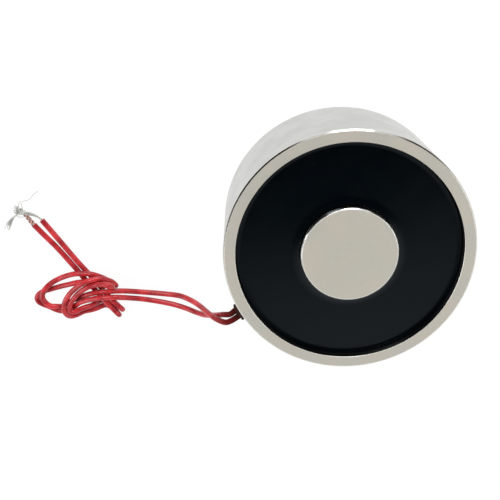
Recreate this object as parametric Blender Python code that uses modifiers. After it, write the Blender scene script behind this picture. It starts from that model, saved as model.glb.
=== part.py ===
"""Round potted holding electromagnet with two insulated leads.

The magnet stands on its flat back face, with its holding face up. The origin is the centre of the back
face and +Z is the axis. The two leads leave the wall through one hole, drop to the surface that the
magnet stands on, are tied in a knot there and end in bare strands.
"""
import math

import bmesh
import bpy
from mathutils import Vector

MM = 0.001

# Clearance between two pieces that seat on each other.
CLEARANCE = 0.3 * MM

# Steel pot.
BODY_DIAMETER = 80.0 * MM
BODY_HEIGHT = 38.0 * MM
RIM_WALL = 3.9 * MM
BACK_THICKNESS = 8.0 * MM
RIM_CHAMFER = 0.7 * MM
RIM_INNER_CHAMFER = 0.3 * MM
BACK_CHAMFER = 1.0 * MM
POT_FILLET = 1.2 * MM

# Steel pole, its staked spigot and its screw hole.
POLE_DIAMETER = 31.0 * MM
POLE_CHAMFER = 0.5 * MM
SPIGOT_DIAMETER = 18.0 * MM
STAKE_WIDTH = 1.2 * MM
SCREW_DIAMETER = 8.0 * MM
SCREW_DEPTH = 14.0 * MM
SCREW_COUNTERSINK = 0.8 * MM
DRILL_POINT_ANGLE = math.radians(118.0)

# Potting: how far its surface lies below the rim, its thickness over the coil and its raised edge.
POTTING_DEPTH = 3.0 * MM
POTTING_COVER = 1.8 * MM
MENISCUS_RADIUS = 6.0 * MM
MENISCUS_CONTACT_ANGLE = math.radians(60.0)

# Coil: how far the bobbin's flanges stay inside the pot, and the winding inside the flanges.
BOBBIN_WALL = 1.2 * MM
BOBBIN_MARGIN = 2.1 * MM
WINDING_MARGIN = 3.5 * MM
TAPE_THICKNESS = 0.4 * MM
TAPE_MARGIN = 1.1 * MM

# Tails of the winding: their size, the stretch between two bends and how deep they end in the winding.
TAIL_DIAMETER = 0.5 * MM
TAIL_STRETCH = 2.6 * MM
TAIL_BITE = 0.8 * MM

# Leads and the hole that they leave by, which lies a set depth below the holding face.
LEAD_DIAMETER = 2.0 * MM
LEAD_SPACING = 2.4 * MM
LEAD_BEND_RADIUS = 3.6 * MM
CONDUCTOR_DIAMETER = 0.95 * MM
EXIT_AZIMUTH = math.radians(214.6)
EXIT_DEPTH = 10.0 * MM
SLEEVE_WALL = 0.5 * MM
SLEEVE_REACH = 3.0 * MM
SLEEVE_LIP = 0.2 * MM

# Splices between the leads and the tails of the winding, beside the exit hole. Each lead runs straight
# for a little past its splice's tube before it bends into the hole.
SPLICE_TUBE_WALL = 0.4 * MM
SPLICE_TUBE_LENGTH = 7.2 * MM
SPLICE_LEAD_STRAIGHT = 1.23 * MM
JOINT_DIAMETER = 1.4 * MM
JOINT_LENGTH = 4.2 * MM

# Facets round a turn, on the large and the small pieces, and on a rounded corner.
BODY_STEPS = 96
COIL_STEPS = 64
SMALL_STEPS = 16
CORNER_STEPS = 3

# Longest stretch between two points of a lead's tube.
LEAD_POINT_SPACING = 3 * LEAD_DIAMETER

# Each lead's route outside the magnet, in millimetres, from just past the sleeve's mouth to the end
# of the insulation. The knot is two loops with four folds.
LEAD_1_ROUTE = (
    (-37.4, -27.8, 27.00), (-39.8, -29.9, 24.40), (-43.2, -30.6, 20.20), (-46.2, -30.7, 15.20),
    (-49.8, -30.6, 8.90), (-53.3, -30.4, 4.60), (-57.1, -29.8, 2.40), (-62.8, -29.4, 1.40),
    (-70.2, -28.7, 1.40), (-77.0, -27.4, 3.10), (-80.9, -27.0, 4.00), (-83.9, -27.4, 3.70),
    (-86.8, -27.6, 3.80), (-89.9, -28.3, 3.40), (-92.8, -29.5, 2.40), (-95.7, -31.1, 1.20),
    (-98.7, -32.7, 1.05), (-101.3, -34.1, 1.60), (-103.2, -33.6, 2.90), (-105.3, -33.2, 3.30),
    (-107.0, -31.8, 3.30), (-107.9, -29.8, 3.30), (-107.4, -27.6, 3.30), (-106.0, -25.7, 3.00),
    (-104.1, -24.2, 2.40), (-101.8, -23.0, 1.90), (-99.1, -21.7, 2.40), (-95.6, -20.5, 3.15),
    (-91.9, -20.3, 3.20), (-89.0, -20.6, 3.20), (-86.3, -21.8, 2.60), (-84.1, -23.4, 1.60),
    (-82.5, -24.8, 1.10), (-81.3, -25.7, 1.15), (-80.7, -25.7, 1.95), (-80.8, -24.8, 2.95),
    (-82.0, -23.5, 3.30), (-84.2, -22.3, 4.10), (-86.5, -21.7, 5.00), (-89.4, -22.1, 5.60),
    (-92.4, -23.4, 5.60), (-95.3, -25.7, 4.90), (-97.9, -28.5, 4.20), (-99.6, -31.4, 3.80),
    (-100.3, -33.9, 3.70), (-100.0, -36.3, 3.20), (-98.6, -38.0, 2.20), (-96.3, -37.9, 1.20),
    (-93.6, -36.6, 1.05), (-90.9, -36.0, 1.05), (-88.6, -35.3, 1.05), (-86.7, -34.4, 1.05),
    (-85.0, -34.0, 1.05), (-83.4, -34.7, 1.05), (-82.0, -36.0, 1.05), (-80.8, -37.3, 1.30),
    (-80.2, -37.5, 2.20), (-80.7, -36.4, 3.10), (-82.3, -34.4, 3.20), (-84.2, -32.2, 3.20),
    (-86.0, -30.2, 2.70), (-87.7, -28.8, 1.40), (-89.7, -26.5, 1.05), (-92.0, -23.7, 1.05),
    (-94.3, -20.3, 1.05), (-97.1, -16.5, 1.05), (-101.8, -10.3, 1.05), (-105.1, -6.5, 1.05),
    (-108.8, -2.1, 1.05),
)
LEAD_2_ROUTE = (
    (-38.1, -26.4, 25.20), (-40.6, -28.8, 20.60), (-44.3, -32.3, 13.80), (-47.7, -34.5, 9.00),
    (-51.2, -35.2, 5.20), (-55.0, -34.7, 2.80), (-60.3, -33.5, 1.60), (-70.3, -31.4, 1.80),
    (-77.0, -29.8, 3.80), (-80.4, -29.0, 5.20), (-83.7, -28.9, 5.60), (-86.6, -29.1, 5.50),
    (-89.4, -29.9, 4.80), (-91.8, -30.8, 3.90), (-94.3, -32.0, 3.00), (-97.8, -35.0, 1.15),
    (-101.1, -36.4, 1.05), (-103.7, -35.9, 1.05), (-106.2, -34.6, 1.05), (-108.3, -33.7, 1.05),
    (-110.0, -32.6, 1.05), (-110.6, -31.1, 1.05), (-109.8, -29.5, 1.05), (-108.0, -28.3, 1.05),
    (-105.9, -27.6, 1.05), (-103.6, -26.9, 1.05), (-100.8, -26.0, 1.40), (-97.6, -24.9, 2.30),
    (-94.4, -23.9, 3.00), (-91.4, -23.6, 3.20), (-88.8, -23.7, 3.25), (-86.9, -24.1, 3.25),
    (-85.4, -24.5, 3.50), (-83.9, -24.6, 4.40), (-82.5, -24.7, 5.20), (-81.5, -24.5, 5.80),
    (-81.4, -23.9, 6.70), (-82.1, -23.3, 7.20), (-83.4, -23.1, 7.00), (-84.9, -23.2, 6.60),
    (-86.4, -23.4, 6.30), (-88.2, -23.9, 5.80), (-90.1, -24.6, 5.60), (-92.2, -25.9, 5.20),
    (-94.3, -27.7, 4.60), (-96.1, -29.8, 4.40), (-97.5, -31.8, 4.30), (-98.1, -33.7, 3.90),
    (-97.9, -35.1, 3.70), (-96.5, -35.6, 3.60), (-94.8, -34.8, 3.50), (-92.6, -33.9, 3.30),
    (-90.4, -33.4, 2.80), (-88.8, -32.8, 2.00), (-87.3, -32.3, 1.10), (-85.6, -31.8, 1.05),
    (-83.9, -31.9, 1.05), (-82.1, -32.9, 1.05), (-80.6, -34.4, 1.05), (-79.3, -35.4, 1.30),
    (-78.8, -35.3, 2.20), (-79.2, -34.4, 3.10), (-80.5, -32.9, 3.20), (-82.2, -31.0, 3.20),
    (-83.5, -29.8, 2.50), (-85.0, -28.8, 1.15), (-86.3, -27.1, 1.05), (-88.1, -24.5, 1.05),
    (-90.3, -21.6, 1.05), (-92.1, -19.3, 1.05), (-94.2, -16.6, 1.05), (-99.8, -8.7, 1.05),
    (-102.7, -4.6, 1.05), (-105.8, -0.3, 1.05),
)

# Each bare end's route, in millimetres, from the cut end of the insulation.
STRANDS_1_ROUTE = (
    (-109.0, -1.8, 1.00), (-110.1, -0.4, 0.85), (-111.2, 1.2, 0.70), (-112.4, 2.6, 0.65),
    (-113.7, 3.1, 0.60), (-114.9, 3.5, 0.60), (-116.0, 3.8, 0.60),
)
STRANDS_2_ROUTE = (
    (-106.0, -0.0, 1.05), (-107.4, 1.1, 1.15), (-108.7, 1.8, 1.35), (-110.0, 2.3, 1.60),
    (-111.1, 2.6, 1.90), (-112.4, 2.7, 1.90), (-113.8, 2.2, 1.30), (-115.4, 1.1, 0.60),
    (-116.9, -0.5, 0.50), (-118.2, -2.5, 0.50), (-119.1, -4.6, 0.50),
)

# Radii and heights that follow from the sizes above.
BODY_RADIUS = BODY_DIAMETER / 2
BORE_RADIUS = BODY_RADIUS - RIM_WALL
POLE_RADIUS = POLE_DIAMETER / 2
SPIGOT_RADIUS = SPIGOT_DIAMETER / 2
SCREW_RADIUS = SCREW_DIAMETER / 2
POTTING_LEVEL = BODY_HEIGHT - POTTING_DEPTH
BOBBIN_BOTTOM = BACK_THICKNESS + CLEARANCE
BOBBIN_TOP = POTTING_LEVEL - POTTING_COVER
BOBBIN_INNER_RADIUS = POLE_RADIUS + CLEARANCE
BOBBIN_TUBE_RADIUS = BOBBIN_INNER_RADIUS + BOBBIN_WALL
FLANGE_RADIUS = BORE_RADIUS - BOBBIN_MARGIN
WINDING_BOTTOM = BOBBIN_BOTTOM + BOBBIN_WALL + CLEARANCE
WINDING_TOP = BOBBIN_TOP - BOBBIN_WALL - CLEARANCE
WINDING_RADIUS = FLANGE_RADIUS - WINDING_MARGIN
TAPE_INNER_RADIUS = WINDING_RADIUS + CLEARANCE
TAPE_RADIUS = TAPE_INNER_RADIUS + TAPE_THICKNESS
LEAD_RADIUS = LEAD_DIAMETER / 2
TAIL_RADIUS = TAIL_DIAMETER / 2
SPLICE_TUBE_BORE_RADIUS = LEAD_RADIUS + CLEARANCE
SPLICE_TUBE_RADIUS = SPLICE_TUBE_BORE_RADIUS + SPLICE_TUBE_WALL
SPLICE_RADIUS = TAPE_RADIUS + CLEARANCE + SPLICE_TUBE_RADIUS
EXIT_HEIGHT = BODY_HEIGHT - EXIT_DEPTH
SLEEVE_BORE_RADIUS = LEAD_SPACING / 2 + LEAD_RADIUS + CLEARANCE
SLEEVE_RADIUS = SLEEVE_BORE_RADIUS + SLEEVE_WALL
SLEEVE_START = BORE_RADIUS + CLEARANCE
SLEEVE_MOUTH = BODY_RADIUS + SLEEVE_REACH
EXIT_HOLE_RADIUS = SLEEVE_RADIUS + CLEARANCE

# Each lead's bend starts this far along its splice's axis. The splice's angle from the exit hole lets
# the bend end on the lead's own line through the hole.
BEND_START = SPLICE_TUBE_LENGTH / 2 + SPLICE_LEAD_STRAIGHT
BEND_REACH = SPLICE_RADIUS + LEAD_BEND_RADIUS
SPLICE_ANGLE = (math.asin((LEAD_SPACING / 2 + LEAD_BEND_RADIUS) / math.hypot(BEND_REACH, BEND_START))
                + math.atan2(BEND_START, BEND_REACH))


def clear_scene():
    """Remove every object that the file opened with."""
    for old in list(bpy.data.objects):
        bpy.data.objects.remove(old, do_unlink=True)


def new_collection(name):
    """Return a new collection, linked to the scene."""
    collection = bpy.data.collections.new(name)
    bpy.context.scene.collection.children.link(collection)
    return collection


def principled(name, color, roughness, metallic):
    """Return a material with one Principled BSDF."""
    material = bpy.data.materials.new(name)
    material.use_nodes = True
    shader = material.node_tree.nodes["Principled BSDF"]
    shader.inputs["Base Color"].default_value = (*color, 1.0)
    shader.inputs["Roughness"].default_value = roughness
    shader.inputs["Metallic"].default_value = metallic
    material.diffuse_color = (*color, 1.0)
    return material


def add_object(name, data, collection, material=None):
    """Link a new object that holds the given mesh or curve."""
    item = bpy.data.objects.new(name, data)
    collection.objects.link(item)
    if material is not None:
        data.materials.append(material)
    return item


def mark_as_cutter(item):
    """Keep an object that only shapes others out of the model."""
    item.hide_render = True
    item.display_type = 'WIRE'


def arc(center, radius, start, end):
    """Return points on an arc in the profile's plane, angles in radians, both ends included."""
    points = []
    for step in range(CORNER_STEPS + 1):
        angle = start + (end - start) * step / CORNER_STEPS
        points.append((center[0] + radius * math.cos(angle), center[1] + radius * math.sin(angle)))
    return points


def turned(name, profile, steps, collection, material=None, ring=True):
    """Turn a profile of (radius, height) points about Z with a Screw modifier.

    The points run outwards over the top, down the outer side and back inwards. A ring's profile is
    a closed loop. Any other profile starts and ends on the axis.
    """
    mesh = bpy.data.meshes.new(name)
    edges = [(i, i + 1) for i in range(len(profile) - 1)]
    if ring:
        edges.append((len(profile) - 1, 0))
    mesh.from_pydata([(radius, 0.0, height) for radius, height in profile], edges, [])
    item = add_object(name, mesh, collection, material)
    screw = item.modifiers.new("Turn", 'SCREW')
    screw.axis = 'Z'
    screw.angle = math.tau
    screw.steps = steps
    screw.render_steps = steps
    screw.use_merge_vertices = True
    screw.merge_threshold = 0.00001
    screw.use_smooth_shade = True
    return item


def cut(item, cutter):
    """Cut one object with another."""
    boolean = item.modifiers.new("Cut " + cutter.name, 'BOOLEAN')
    boolean.operation = 'DIFFERENCE'
    boolean.solver = 'EXACT'
    boolean.object = cutter


def even_shading(item):
    """Keep flat faces flat in shading, next to the round ones."""
    item.modifiers.new("Shading", 'WEIGHTED_NORMAL')


def exit_point(reach, offset, height):
    """Return a point by its distance out along the exit hole, its offset to the side and its height."""
    outward = Vector((math.cos(EXIT_AZIMUTH), math.sin(EXIT_AZIMUTH), 0.0))
    sideways = Vector((-math.sin(EXIT_AZIMUTH), math.cos(EXIT_AZIMUTH), 0.0))
    return outward * reach + sideways * offset + Vector((0.0, 0.0, height))


def polar_point(radius, angle, height):
    """Return a point by its radius, its angle from the exit hole and its height."""
    return exit_point(radius * math.cos(angle), radius * math.sin(angle), height)


def splice_point(side, toward_exit):
    """Return a point on a splice's straight axis, by its distance from the splice's middle."""
    reach = SPLICE_RADIUS * math.cos(SPLICE_ANGLE) + toward_exit * math.sin(SPLICE_ANGLE)
    offset = SPLICE_RADIUS * math.sin(SPLICE_ANGLE) - toward_exit * math.cos(SPLICE_ANGLE)
    return exit_point(reach, side * offset, EXIT_HEIGHT)


def lay_along(item, point, azimuth):
    """Lay a turned piece down, with its axis level and its middle at the point."""
    item.location = point
    item.rotation_euler = (0.0, math.pi / 2, azimuth)


def smooth_route(points, spacing):
    """Return points on a centripetal Catmull-Rom curve through the route's points."""
    route = [points[0] * 2 - points[1], *points, points[-1] * 2 - points[-2]]
    result = []
    for i in range(1, len(route) - 2):
        before, start, end, after = route[i - 1:i + 3]
        knot_1 = math.sqrt((start - before).length)
        knot_2 = knot_1 + math.sqrt((end - start).length)
        knot_3 = knot_2 + math.sqrt((after - end).length)
        pieces = max(1, math.ceil((end - start).length / spacing))
        for piece in range(pieces):
            t = knot_1 + (knot_2 - knot_1) * piece / pieces
            a_1 = before.lerp(start, t / knot_1)
            a_2 = start.lerp(end, (t - knot_1) / (knot_2 - knot_1))
            a_3 = end.lerp(after, (t - knot_2) / (knot_3 - knot_2))
            b_1 = a_1.lerp(a_2, t / knot_2)
            b_2 = a_2.lerp(a_3, (t - knot_1) / (knot_3 - knot_1))
            result.append(b_1.lerp(b_2, (t - knot_1) / (knot_2 - knot_1)))
    result.append(points[-1])
    return result


def tube(name, points, radius, collection, material=None):
    """Return a round tube along the points, as a curve with filled ends."""
    curve = bpy.data.curves.new(name, 'CURVE')
    curve.dimensions = '3D'
    curve.bevel_depth = radius
    curve.bevel_resolution = 2
    curve.use_fill_caps = True
    spline = curve.splines.new('POLY')
    spline.points.add(len(points) - 1)
    for spot, point in zip(spline.points, points):
        spot.co = (*point, 1.0)
    return add_object(name, curve, collection, material)


def tube_mesh(name, points, radius, collection):
    """Return the same tube as a closed mesh, for a Boolean."""
    rail = tube(name + "_rail", points, radius, collection)
    bpy.context.view_layer.update()
    depsgraph = bpy.context.evaluated_depsgraph_get()
    mesh = bpy.data.meshes.new_from_object(rail.evaluated_get(depsgraph))
    mesh.name = name
    shape = bmesh.new()
    shape.from_mesh(mesh)
    bmesh.ops.remove_doubles(shape, verts=shape.verts, dist=0.00001)
    shape.to_mesh(mesh)
    shape.free()
    item = add_object(name, mesh, collection)
    item.matrix_world = rail.matrix_world
    bpy.data.objects.remove(rail, do_unlink=True)
    mark_as_cutter(item)
    return item


def in_metres(route):
    """Return a route's points as vectors in metres."""
    return [Vector(point) * MM for point in route]


def make_shell(parts, tools, steel):
    """The steel pot: rim, wall and back plate in one, with the spigot's hole and the lead's hole."""
    spigot_hole = SPIGOT_RADIUS + CLEARANCE
    stake_hole = spigot_hole + STAKE_WIDTH
    fillet_center = (BORE_RADIUS - POT_FILLET, BACK_THICKNESS + POT_FILLET)
    profile = [
        (BORE_RADIUS, BODY_HEIGHT - RIM_INNER_CHAMFER),
        (BORE_RADIUS + RIM_INNER_CHAMFER, BODY_HEIGHT),
        (BODY_RADIUS - RIM_CHAMFER, BODY_HEIGHT),
        (BODY_RADIUS, BODY_HEIGHT - RIM_CHAMFER),
        (BODY_RADIUS, BACK_CHAMFER),
        (BODY_RADIUS - BACK_CHAMFER, 0.0),
        (stake_hole, 0.0),
        (spigot_hole, STAKE_WIDTH),
        (spigot_hole, BACK_THICKNESS),
        *arc(fillet_center, POT_FILLET, -math.pi / 2, 0.0),
    ]
    shell = turned("shell", profile, BODY_STEPS, parts, steel)
    drill = bpy.data.meshes.new("exit_hole_drill")
    shape = bmesh.new()
    bmesh.ops.create_cone(shape, cap_ends=True, segments=2 * SMALL_STEPS, radius1=EXIT_HOLE_RADIUS,
                          radius2=EXIT_HOLE_RADIUS, depth=3 * RIM_WALL)
    shape.to_mesh(drill)
    shape.free()
    cutter = add_object("exit_hole_drill", drill, tools)
    mark_as_cutter(cutter)
    lay_along(cutter, exit_point(BODY_RADIUS - RIM_WALL / 2, 0.0, EXIT_HEIGHT), EXIT_AZIMUTH)
    cut(shell, cutter)
    even_shading(shell)


def make_core(parts, steel):
    """The steel pole, with a staked spigot through the back plate and a screw hole from the back."""
    shoulder = BACK_THICKNESS + CLEARANCE
    drill_point = SCREW_RADIUS / math.tan(DRILL_POINT_ANGLE / 2)
    profile = [
        (0.0, BODY_HEIGHT),
        (POLE_RADIUS - POLE_CHAMFER, BODY_HEIGHT),
        (POLE_RADIUS, BODY_HEIGHT - POLE_CHAMFER),
        (POLE_RADIUS, shoulder),
        (SPIGOT_RADIUS, shoulder),
        (SPIGOT_RADIUS, STAKE_WIDTH),
        (SPIGOT_RADIUS + STAKE_WIDTH, 0.0),
        (SCREW_RADIUS + SCREW_COUNTERSINK, 0.0),
        (SCREW_RADIUS, SCREW_COUNTERSINK),
        (SCREW_RADIUS, SCREW_DEPTH),
        (0.0, SCREW_DEPTH + drill_point),
    ]
    even_shading(turned("core", profile, BODY_STEPS, parts, steel, ring=False))


def make_bobbin(parts, nylon):
    """The moulded spool: a tube over the pole, with a flange at each end."""
    profile = [
        (BOBBIN_INNER_RADIUS, BOBBIN_TOP),
        (FLANGE_RADIUS, BOBBIN_TOP),
        (FLANGE_RADIUS, BOBBIN_TOP - BOBBIN_WALL),
        (BOBBIN_TUBE_RADIUS, BOBBIN_TOP - BOBBIN_WALL),
        (BOBBIN_TUBE_RADIUS, BOBBIN_BOTTOM + BOBBIN_WALL),
        (FLANGE_RADIUS, BOBBIN_BOTTOM + BOBBIN_WALL),
        (FLANGE_RADIUS, BOBBIN_BOTTOM),
        (BOBBIN_INNER_RADIUS, BOBBIN_BOTTOM),
    ]
    even_shading(turned("bobbin", profile, COIL_STEPS, parts, nylon))


def tail_points(side):
    """Return one tail's path, from its splice, along the tape, over its edge and into the winding."""
    start = JOINT_LENGTH / 2 + CLEARANCE
    straight = SPLICE_TUBE_LENGTH / 2 + CLEARANCE
    level = WINDING_TOP - TAPE_MARGIN / 2 + TAIL_RADIUS / 2
    past_splice = SPLICE_ANGLE + math.atan(straight / SPLICE_RADIUS)
    turn = TAIL_STRETCH / SPLICE_RADIUS
    return [
        splice_point(side, -start),
        splice_point(side, -straight),
        polar_point(SPLICE_RADIUS, side * (past_splice + turn), EXIT_HEIGHT + (level - EXIT_HEIGHT) / 4),
        polar_point(SPLICE_RADIUS, side * (past_splice + 2 * turn), level - (level - EXIT_HEIGHT) / 4),
        polar_point(SPLICE_RADIUS, side * (past_splice + 3 * turn), level),
        polar_point(WINDING_RADIUS + TAIL_DIAMETER, side * (past_splice + 4 * turn), level),
        polar_point(WINDING_RADIUS - TAIL_BITE, side * (past_splice + 5 * turn), level),
    ]


def make_winding(parts, tools, copper):
    """The wound wire, in one piece with the two tails that lead out of it."""
    inner = BOBBIN_TUBE_RADIUS + CLEARANCE
    profile = [
        (inner, WINDING_TOP),
        (WINDING_RADIUS, WINDING_TOP),
        (WINDING_RADIUS, WINDING_BOTTOM),
        (inner, WINDING_BOTTOM),
    ]
    winding = turned("winding", profile, COIL_STEPS, parts, copper)
    for side, name in ((1, "tail_1"), (-1, "tail_2")):
        points = smooth_route(tail_points(side), 4 * TAIL_DIAMETER)
        join = winding.modifiers.new("Join " + name, 'BOOLEAN')
        join.operation = 'UNION'
        join.solver = 'EXACT'
        join.object = tube_mesh(name, points, TAIL_RADIUS, tools)


def make_tape(parts, tape):
    """The tape round the winding, a little narrower than it."""
    profile = [
        (TAPE_INNER_RADIUS, WINDING_TOP - TAPE_MARGIN),
        (TAPE_RADIUS, WINDING_TOP - TAPE_MARGIN),
        (TAPE_RADIUS, WINDING_BOTTOM + TAPE_MARGIN),
        (TAPE_INNER_RADIUS, WINDING_BOTTOM + TAPE_MARGIN),
    ]
    even_shading(turned("coil_tape", profile, COIL_STEPS, parts, tape))


def inner_route(side, first):
    """Return a lead's route inside the magnet, from its splice to the sleeve's mouth."""
    turn = math.pi / 2 - SPLICE_ANGLE
    bend_start = SPLICE_RADIUS * math.cos(SPLICE_ANGLE) + BEND_START * math.sin(SPLICE_ANGLE)
    bend_end = bend_start + LEAD_BEND_RADIUS * math.sin(turn)
    points = [splice_point(side, first), splice_point(side, SPLICE_TUBE_LENGTH / 2)]
    for step in range(CORNER_STEPS + 1):
        angle = turn * (1 - step / CORNER_STEPS)
        along = bend_end - LEAD_BEND_RADIUS * math.sin(angle)
        offset = LEAD_SPACING / 2 + LEAD_BEND_RADIUS * (1 - math.cos(angle))
        points.append(exit_point(along, side * offset, EXIT_HEIGHT))
    points.append(exit_point(SLEEVE_MOUTH, side * LEAD_SPACING / 2, EXIT_HEIGHT))
    return points


def make_potting(parts, tools, resin):
    """The resin over and around the coil, with room for the splices, the tails and the leads."""
    inner = POLE_RADIUS + CLEARANCE
    outer = BORE_RADIUS - CLEARANCE
    flange = FLANGE_RADIUS + CLEARANCE
    tape = TAPE_RADIUS + CLEARANCE
    rise = MENISCUS_RADIUS * math.cos(MENISCUS_CONTACT_ANGLE)
    center_height = POTTING_LEVEL + MENISCUS_RADIUS
    profile = [
        *arc((inner + rise, center_height), MENISCUS_RADIUS,
             math.pi + MENISCUS_CONTACT_ANGLE, 1.5 * math.pi),
        *arc((outer - rise, center_height), MENISCUS_RADIUS,
             1.5 * math.pi, math.tau - MENISCUS_CONTACT_ANGLE),
        (outer, BOBBIN_BOTTOM + POT_FILLET),
        (outer - POT_FILLET, BOBBIN_BOTTOM),
        (flange, BOBBIN_BOTTOM),
        (flange, WINDING_BOTTOM),
        (tape, WINDING_BOTTOM),
        (tape, WINDING_TOP),
        (flange, WINDING_TOP),
        (flange, BOBBIN_TOP + CLEARANCE),
        (inner, BOBBIN_TOP + CLEARANCE),
    ]
    potting = turned("potting", profile, BODY_STEPS, parts, resin)
    room = SPLICE_TUBE_RADIUS + CLEARANCE
    for side, name in ((1, "1"), (-1, "2")):
        past_tube = SPLICE_TUBE_LENGTH / 2 + CLEARANCE
        lead_room = [splice_point(side, -past_tube), *inner_route(side, 0.0)[:-1]]
        lead_room.append(exit_point(BODY_RADIUS, side * LEAD_SPACING / 2, EXIT_HEIGHT))
        cut(potting, tube_mesh("lead_room_" + name, lead_room, room, tools))
        tail_room = smooth_route(tail_points(side), 4 * TAIL_DIAMETER)
        cut(potting, tube_mesh("tail_room_" + name, tail_room, TAIL_RADIUS + CLEARANCE, tools))
    even_shading(potting)


def make_splice(side, number, parts, solder, tubing):
    """One soldered joint and the insulating tube over it."""
    azimuth = EXIT_AZIMUTH + side * (SPLICE_ANGLE - math.pi / 2)
    half = JOINT_LENGTH / 2
    taper = JOINT_DIAMETER / 4
    joint_profile = [
        (0.0, half),
        (JOINT_DIAMETER / 2 - taper, half),
        (JOINT_DIAMETER / 2, half - 2 * taper),
        (JOINT_DIAMETER / 2, 2 * taper - half),
        (JOINT_DIAMETER / 2 - taper, -half),
        (0.0, -half),
    ]
    joint = turned("splice_" + number, joint_profile, SMALL_STEPS, parts, solder, ring=False)
    lay_along(joint, splice_point(side, 0.0), azimuth)
    half = SPLICE_TUBE_LENGTH / 2
    tube_profile = [
        (SPLICE_TUBE_BORE_RADIUS, half),
        (SPLICE_TUBE_RADIUS, half),
        (SPLICE_TUBE_RADIUS, -half),
        (SPLICE_TUBE_BORE_RADIUS, -half),
    ]
    cover = turned("splice_" + number + "_tube", tube_profile, SMALL_STEPS, parts, tubing)
    lay_along(cover, splice_point(side, 0.0), azimuth)


def make_exit_sleeve(parts, tubing):
    """The sleeve that guards both leads in the hole, with a slightly flared mouth."""
    length = SLEEVE_MOUTH - SLEEVE_START
    profile = [
        (SLEEVE_BORE_RADIUS + SLEEVE_LIP, length),
        (SLEEVE_RADIUS + SLEEVE_LIP, length),
        (SLEEVE_RADIUS, length - SLEEVE_REACH / 3),
        (SLEEVE_RADIUS, 0.0),
        (SLEEVE_BORE_RADIUS, 0.0),
        (SLEEVE_BORE_RADIUS, length - SLEEVE_REACH / 3),
    ]
    sleeve = turned("exit_sleeve", profile, 2 * SMALL_STEPS, parts, tubing)
    lay_along(sleeve, exit_point(SLEEVE_START, 0.0, EXIT_HEIGHT), EXIT_AZIMUTH)


def make_lead(side, number, route, parts, rubber):
    """One insulated lead, from its splice, out of the sleeve and through the knot."""
    first = JOINT_LENGTH / 2 + CLEARANCE
    points = inner_route(side, first) + in_metres(route)
    tube("lead_" + number, smooth_route(points, LEAD_POINT_SPACING), LEAD_RADIUS, parts, rubber)


def make_strands(number, route, parts, tin):
    """One lead's bare end."""
    points = smooth_route(in_metres(route), 2 * CONDUCTOR_DIAMETER)
    tube("lead_" + number + "_strands", points, CONDUCTOR_DIAMETER / 2, parts, tin)


def build():
    """Make the whole magnet."""
    clear_scene()
    parts = new_collection("holding_electromagnet")
    tools = new_collection("cutters")
    steel = principled("nickel_plated_steel", (0.62, 0.60, 0.55), 0.35, 1.0)
    resin = principled("black_resin", (0.012, 0.014, 0.016), 0.30, 0.0)
    nylon = principled("natural_nylon", (0.75, 0.72, 0.62), 0.50, 0.0)
    copper = principled("enamelled_copper", (0.55, 0.20, 0.07), 0.35, 1.0)
    tape = principled("yellow_tape", (0.70, 0.50, 0.10), 0.45, 0.0)
    tubing = principled("dark_tubing", (0.05, 0.03, 0.02), 0.60, 0.0)
    solder = principled("solder", (0.60, 0.60, 0.60), 0.40, 1.0)
    rubber = principled("red_insulation", (0.55, 0.06, 0.07), 0.45, 0.0)
    tin = principled("tinned_copper", (0.62, 0.60, 0.56), 0.35, 1.0)
    make_shell(parts, tools, steel)
    make_core(parts, steel)
    make_bobbin(parts, nylon)
    make_winding(parts, tools, copper)
    make_tape(parts, tape)
    make_potting(parts, tools, resin)
    make_exit_sleeve(parts, tubing)
    for side, number, route, bare_route in ((1, "1", LEAD_1_ROUTE, STRANDS_1_ROUTE),
                                            (-1, "2", LEAD_2_ROUTE, STRANDS_2_ROUTE)):
        make_splice(side, number, parts, solder, tubing)
        make_lead(side, number, route, parts, rubber)
        make_strands(number, bare_route, parts, tin)


build()
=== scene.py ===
"""Looks of the round potted holding electromagnet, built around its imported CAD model.

The CAD model gives every piece its size and place. This script turns the visible pieces again with finer
edges, lays the two leads and their bare ends on the same routes, and gives every piece its finish.
"""
from __future__ import annotations

import logging
import math
import random
from dataclasses import dataclass, field
from enum import Enum
from typing import Iterable, Sequence

import bmesh
import bpy
from mathutils import Matrix, Vector

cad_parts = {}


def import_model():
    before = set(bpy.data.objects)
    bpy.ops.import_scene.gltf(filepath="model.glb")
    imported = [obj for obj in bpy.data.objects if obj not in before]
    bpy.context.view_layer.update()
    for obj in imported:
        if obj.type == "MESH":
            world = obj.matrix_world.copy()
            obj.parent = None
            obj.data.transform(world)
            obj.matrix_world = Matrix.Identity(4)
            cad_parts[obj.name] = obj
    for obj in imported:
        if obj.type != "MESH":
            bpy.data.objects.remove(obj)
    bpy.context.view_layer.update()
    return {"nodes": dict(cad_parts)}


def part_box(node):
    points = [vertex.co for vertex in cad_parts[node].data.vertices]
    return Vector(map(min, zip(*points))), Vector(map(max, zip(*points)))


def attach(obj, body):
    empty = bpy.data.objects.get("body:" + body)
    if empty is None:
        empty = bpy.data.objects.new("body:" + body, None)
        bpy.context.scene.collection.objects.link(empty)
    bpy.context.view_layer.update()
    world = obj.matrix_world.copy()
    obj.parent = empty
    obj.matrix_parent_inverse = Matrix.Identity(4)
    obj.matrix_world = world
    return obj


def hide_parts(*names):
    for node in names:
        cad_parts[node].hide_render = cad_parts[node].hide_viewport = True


LOG = logging.getLogger("holding_electromagnet")
MM = 0.001
BODY = "root"

# Angle between two faces above which their shared edge is drawn sharp.
SHARP_ANGLE = math.radians(12.0)

# Distance within which two points of one mesh are the same point.
WELD = 1e-6


# Shader maths


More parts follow.
